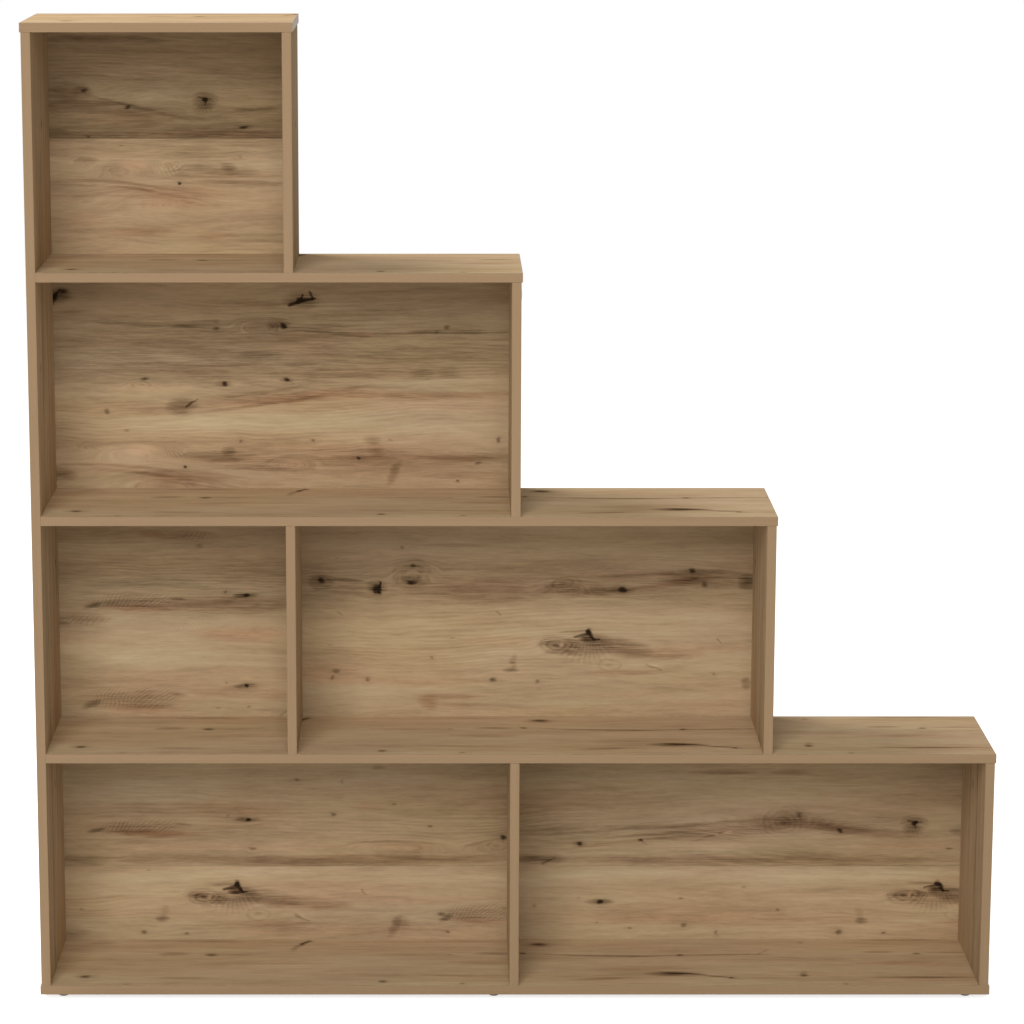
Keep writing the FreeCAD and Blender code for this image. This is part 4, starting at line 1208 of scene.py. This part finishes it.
class CabinetFittings(bpy.types.PropertyGroup):
    """The feet, screws, nails, cam locks, covers and dowels."""

    foot_colour: colour_setting("Foot", "Moulded feet", 150, 139, 126)
    foot_dark_colour: colour_setting("Foot shade", "Dark specks of the feet", 126, 115, 103)
    steel_colour: colour_setting("Plated steel", "Screws, nails and cam bolts", 206, 206, 200)
    steel_dark_colour: colour_setting("Plated steel shade", "Clouds in the plating", 168, 170, 170)
    zinc_colour: colour_setting("Cast zinc", "Cam locks", 184, 186, 188)
    zinc_dark_colour: colour_setting("Cast zinc shade", "Clouds in the cast zinc", 140, 142, 146)
    cover_colour: colour_setting("Cover", "Press-in covers", 160, 131, 98)
    cover_dark_colour: colour_setting("Cover shade", "Dark specks of the covers", 140, 112, 82)
    dowel_colour: colour_setting("Dowel", "Turned beech", 222, 190, 148)
    dowel_dark_colour: colour_setting("Dowel flecks", "Flecks of the beech", 182, 146, 104)


class CabinetStage(bpy.types.PropertyGroup):
    """The floor, the light and the camera."""

    floor_side: plain_setting("Floor side", "Side of the floor", 16.0, unit="LENGTH")
    floor_colour: colour_setting("Floor", "Colour of the floor", 226, 226, 226)
    floor_glow: share_setting("Floor glow", "White that only the camera sees on the floor", 0.75)
    ambient: share_setting("Ambient", "Light from all round", 0.34)
    key_power: plain_setting("Key power", "Watts of the lamp in front", 570.0, min=0.0)
    key_side: plain_setting("Key side", "Side of the lamp in front", 4.6, unit="LENGTH")
    key_place: place_setting("Key place", "Where the lamp in front hangs", (-1.1, -7.2, 5.2))
    top_power: plain_setting("Top power", "Watts of the lamp above", 130.0, min=0.0)
    top_side: plain_setting("Top side", "Side of the lamp above", 2.0, unit="LENGTH")
    top_place: place_setting("Top place", "Where the lamp above hangs", (-2.6, 0.9, 4.4))
    camera_place: place_setting("Camera place", "Where the camera stands", (-0.1228, -5.4956, 1.9284))
    camera_pitch: FloatProperty(name="Camera pitch", description="How far the camera looks down",
                                default=radians(10.67), subtype="ANGLE")
    lens: plain_setting("Lens", "Focal length in millimetres", 121.32, min=1.0)
    shift_across: plain_setting("Shift across", "Sideways shift of the picture", 0.0706)
    shift_up: plain_setting("Shift up", "Upward shift of the picture", -0.06)


SETTINGS = {
    "cabinet_boards": CabinetBoards,
    "cabinet_edging": CabinetEdging,
    "cabinet_fittings": CabinetFittings,
    "cabinet_stage": CabinetStage,
}


# What is finished, one operator for each kind of piece


def low_corner():
    """The low corner of the base board, where the cabinet starts on the left and in front."""
    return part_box("base_board")[0]


class CABINET_OT_back_panels(bpy.types.Operator):
    """Finish the thin back panels in knotty oak planks, each tier with its own marks"""

    bl_idname = "cabinet.back_panels"
    bl_label = "Finish Back Panels"
    bl_options = {"REGISTER", "UNDO"}

    def execute(self, context):
        oak = Print(context.scene.cabinet_boards)
        decors = (TOP_TIER_PRINT_AND_LIGHT, SECOND_TIER_DECOR, THIRD_TIER_DECOR, BOTTOM_TIER_PRINT_AND_LIGHT)
        for number, (tier, decor) in enumerate(zip(TIERS, decors), start=1):
            corner = (low_corner().x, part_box(FLOOR_OF_TIER[tier])[1].z)
            layout = Layout("X", "Z", corner, "Y", both=False, sheet=SHEET_APART * number,
                            raw=hardboard_colour)
            finish_node(tier + "_back_panel", oak.material("Oak print " + tier, decor, layout))
        return {"FINISHED"}


class CABINET_OT_lying_boards(bpy.types.Operator):
    """Finish the base board, the shelves and the top board with the grain along their length"""

    bl_idname = "cabinet.lying_boards"
    bl_label = "Finish Lying Boards"
    bl_options = {"REGISTER", "UNDO"}

    def execute(self, context):
        oak = Print(context.scene.cabinet_boards)
        layout = Layout("X", "Y", low_corner().xy, "Z", both=True, sheet=LYING_SHEET,
                        raw=chipboard_colour)
        material = oak.material("Oak print lying with painted light", LYING_PRINT_AND_LIGHT, layout)
        for name in LYING_BOARDS:
            finish_node(name, material)
        return {"FINISHED"}


class CABINET_OT_uprights(bpy.types.Operator):
    """Finish the side, end panels and dividers with the grain upright"""

    bl_idname = "cabinet.uprights"
    bl_label = "Finish Uprights"
    bl_options = {"REGISTER", "UNDO"}

    def execute(self, context):
        oak = Print(context.scene.cabinet_boards)
        layout = Layout("Z", "Y", (0.0, low_corner().y), "X", both=True, sheet=UPRIGHT_SHEET,
                        raw=chipboard_colour)
        material = oak.material("Oak print upright with painted light", UPRIGHT_PRINT_AND_LIGHT, layout)
        for name in UPRIGHTS:
            finish_node(name, material)
        return {"FINISHED"}


class CABINET_OT_edging(bpy.types.Operator):
    """Finish the edging strips, streaked along each strip"""

    bl_idname = "cabinet.edging"
    bl_label = "Finish Edging"
    bl_options = {"REGISTER", "UNDO"}

    def execute(self, context):
        settings = context.scene.cabinet_edging
        level = edging_material("Edging level", settings, "X", "Z")
        upright = edging_material("Edging upright", settings, "Z", "X")
        for names, material in ((LYING_BOARDS, level), (UPRIGHTS, upright)):
            for name in names:
                finish_node(name + "_edging", material)
        return {"FINISHED"}


def finish_kind(ending, material):
    """Puts a material on every CAD node whose name ends so."""
    names = [name for name in sorted(nodes) if name.endswith(ending)]
    if not names:
        raise ValueError("no CAD node's name ends in " + ending)
    for name in names:
        finish_node(name, material)


class CABINET_OT_feet(bpy.types.Operator):
    """Finish the moulded feet"""

    bl_idname = "cabinet.feet"
    bl_label = "Finish Feet"
    bl_options = {"REGISTER", "UNDO"}

    def execute(self, context):
        settings = context.scene.cabinet_fittings
        finish_kind("_foot", moulded_material(
            "Foot plastic", settings.foot_colour, settings.foot_dark_colour, roughness=0.55))
        return {"FINISHED"}


class CABINET_OT_fittings(bpy.types.Operator):
    """Finish the screws, nails, cam locks, covers and dowels"""

    bl_idname = "cabinet.fittings"
    bl_label = "Finish Fittings"
    bl_options = {"REGISTER", "UNDO"}

    def execute(self, context):
        settings = context.scene.cabinet_fittings
        steel = metal_material("Plated steel", settings.steel_colour, settings.steel_dark_colour,
                               roughness=0.36, depth=0.1)
        for ending in ("_screws", "_nails", "_bolts"):
            finish_kind(ending, steel)
        finish_kind("_locks", metal_material("Cast zinc", settings.zinc_colour, settings.zinc_dark_colour,
                                             roughness=0.55, depth=0.4))
        finish_kind("_covers", moulded_material("Cover plastic", settings.cover_colour,
                                                settings.cover_dark_colour, roughness=0.5))
        finish_kind("_dowels", dowel_material(settings))
        return {"FINISHED"}


def white_behind(g, plain, white):
    """Joins a plain shader with a white one that the camera, mirrors and glass see instead."""
    path = g.node("LightPath").outputs
    seen = g.math("MAXIMUM", path["Is Camera Ray"],
                  g.math("MAXIMUM", path["Is Glossy Ray"], path["Is Transmission Ray"]))
    return g.fed(g.node("MixShader"), (seen, plain, white)).outputs[0]


class CABINET_OT_stage(bpy.types.Operator):
    """Set the pale floor, the soft light and the camera"""

    bl_idname = "cabinet.stage"
    bl_label = "Set Stage"
    bl_options = {"REGISTER", "UNDO"}

    def execute(self, context):
        settings = context.scene.cabinet_stage
        self.lay_floor(context, settings)
        self.light_room(context, settings)
        self.hang_lamp(context, "key_lamp", settings.key_power, settings.key_side, settings.key_place)
        self.hang_lamp(context, "top_lamp", settings.top_power, settings.top_side, settings.top_place)
        self.place_camera(context, settings)
        context.scene.view_settings.view_transform = "Standard"
        return {"FINISHED"}

    def lay_floor(self, context, settings):
        matt, dull = 0.9, 0.1
        mesh = bpy.data.meshes.new("floor")
        shape = bmesh.new()
        bmesh.ops.create_grid(shape, x_segments=1, y_segments=1, size=settings.floor_side / 2)
        shape.to_mesh(mesh)
        shape.free()
        floor = bpy.data.objects.new("floor", mesh)
        context.scene.collection.objects.link(floor)
        material, g, shader = start_material("Floor paint")
        shader["Base Color"].default_value = (*settings.floor_colour, 1.0)
        shader["Roughness"].default_value = matt
        shader["Specular IOR Level"].default_value = dull
        glow = g.node("Emission")
        glow.inputs["Strength"].default_value = settings.floor_glow
        painted = material.node_tree.nodes["Principled BSDF"].outputs[0]
        lit = g.fed(g.node("AddShader"), (painted, glow.outputs[0])).outputs[0]
        surface = material.node_tree.nodes["Material Output"].inputs["Surface"]
        g.feed(surface, white_behind(g, painted, lit))
        mesh.materials.append(material)

    def light_room(self, context, settings):
        world = bpy.data.worlds.new("Studio")
        world.use_nodes = True
        context.scene.world = world
        g = Graph(world.node_tree)
        white = (1.0, 1.0, 1.0, 1.0)
        ambient, backdrop = (g.fed(g.node("Background"), (white, strength)).outputs[0]
                             for strength in (settings.ambient, 1.0))
        g.feed(world.node_tree.nodes["World Output"].inputs["Surface"], white_behind(g, ambient, backdrop))

    def hang_lamp(self, context, name, power, side, place):
        data = bpy.data.lights.new(name, "AREA")
        data.energy = power
        data.shape = "SQUARE"
        data.size = side
        lamp = bpy.data.objects.new(name, data)
        lamp.location = place
        middle = (cad_low + cad_high) / 2
        lamp.rotation_euler = (middle - lamp.location).to_track_quat("-Z", "Y").to_euler()
        context.scene.collection.objects.link(lamp)

    def place_camera(self, context, settings):
        sensor_millimetres, view_reach = 36.0, 100.0
        data = bpy.data.cameras.new("camera")
        data.lens = settings.lens
        data.sensor_width = sensor_millimetres
        data.shift_x = settings.shift_across
        data.shift_y = settings.shift_up
        data.clip_end = view_reach
        camera = bpy.data.objects.new("camera", data)
        camera.location = settings.camera_place
        camera.rotation_euler = (pi / 2 - settings.camera_pitch, 0.0, 0.0)
        context.scene.collection.objects.link(camera)
        context.scene.camera = camera


class CABINET_PT_sidebar(bpy.types.Panel):
    """The cabinet's finishing steps in the 3D view's sidebar"""

    bl_idname = "CABINET_PT_sidebar"
    bl_label = "Stepped Book Cabinet"
    bl_space_type = "VIEW_3D"
    bl_region_type = "UI"
    bl_category = "Cabinet"

    def draw(self, context):
        for operator in OPERATORS:
            self.layout.operator(operator.bl_idname)
        for name in SETTINGS:
            box = self.layout.box()
            group = getattr(context.scene, name)
            for entry in group.bl_rna.properties:
                if not entry.is_readonly and entry.identifier != "name":
                    box.prop(group, entry.identifier)


OPERATORS = (
    CABINET_OT_back_panels, CABINET_OT_lying_boards, CABINET_OT_uprights, CABINET_OT_edging,
    CABINET_OT_feet, CABINET_OT_fittings, CABINET_OT_stage,
)
CLASSES = (*SETTINGS.values(), *OPERATORS, CABINET_PT_sidebar)


def register():
    for entry in CLASSES:
        bpy.utils.register_class(entry)
    for name, group in SETTINGS.items():
        setattr(bpy.types.Scene, name, PointerProperty(type=group))


def unregister():
    for name in SETTINGS:
        delattr(bpy.types.Scene, name)
    for entry in reversed(CLASSES):
        bpy.utils.unregister_class(entry)


def main():
    register()
    bpy.ops.cabinet.back_panels()
    bpy.ops.cabinet.lying_boards()
    bpy.ops.cabinet.uprights()
    bpy.ops.cabinet.edging()
    bpy.ops.cabinet.feet()
    bpy.ops.cabinet.fittings()
    bpy.ops.cabinet.stage()


if __name__ == "__main__":
    main()
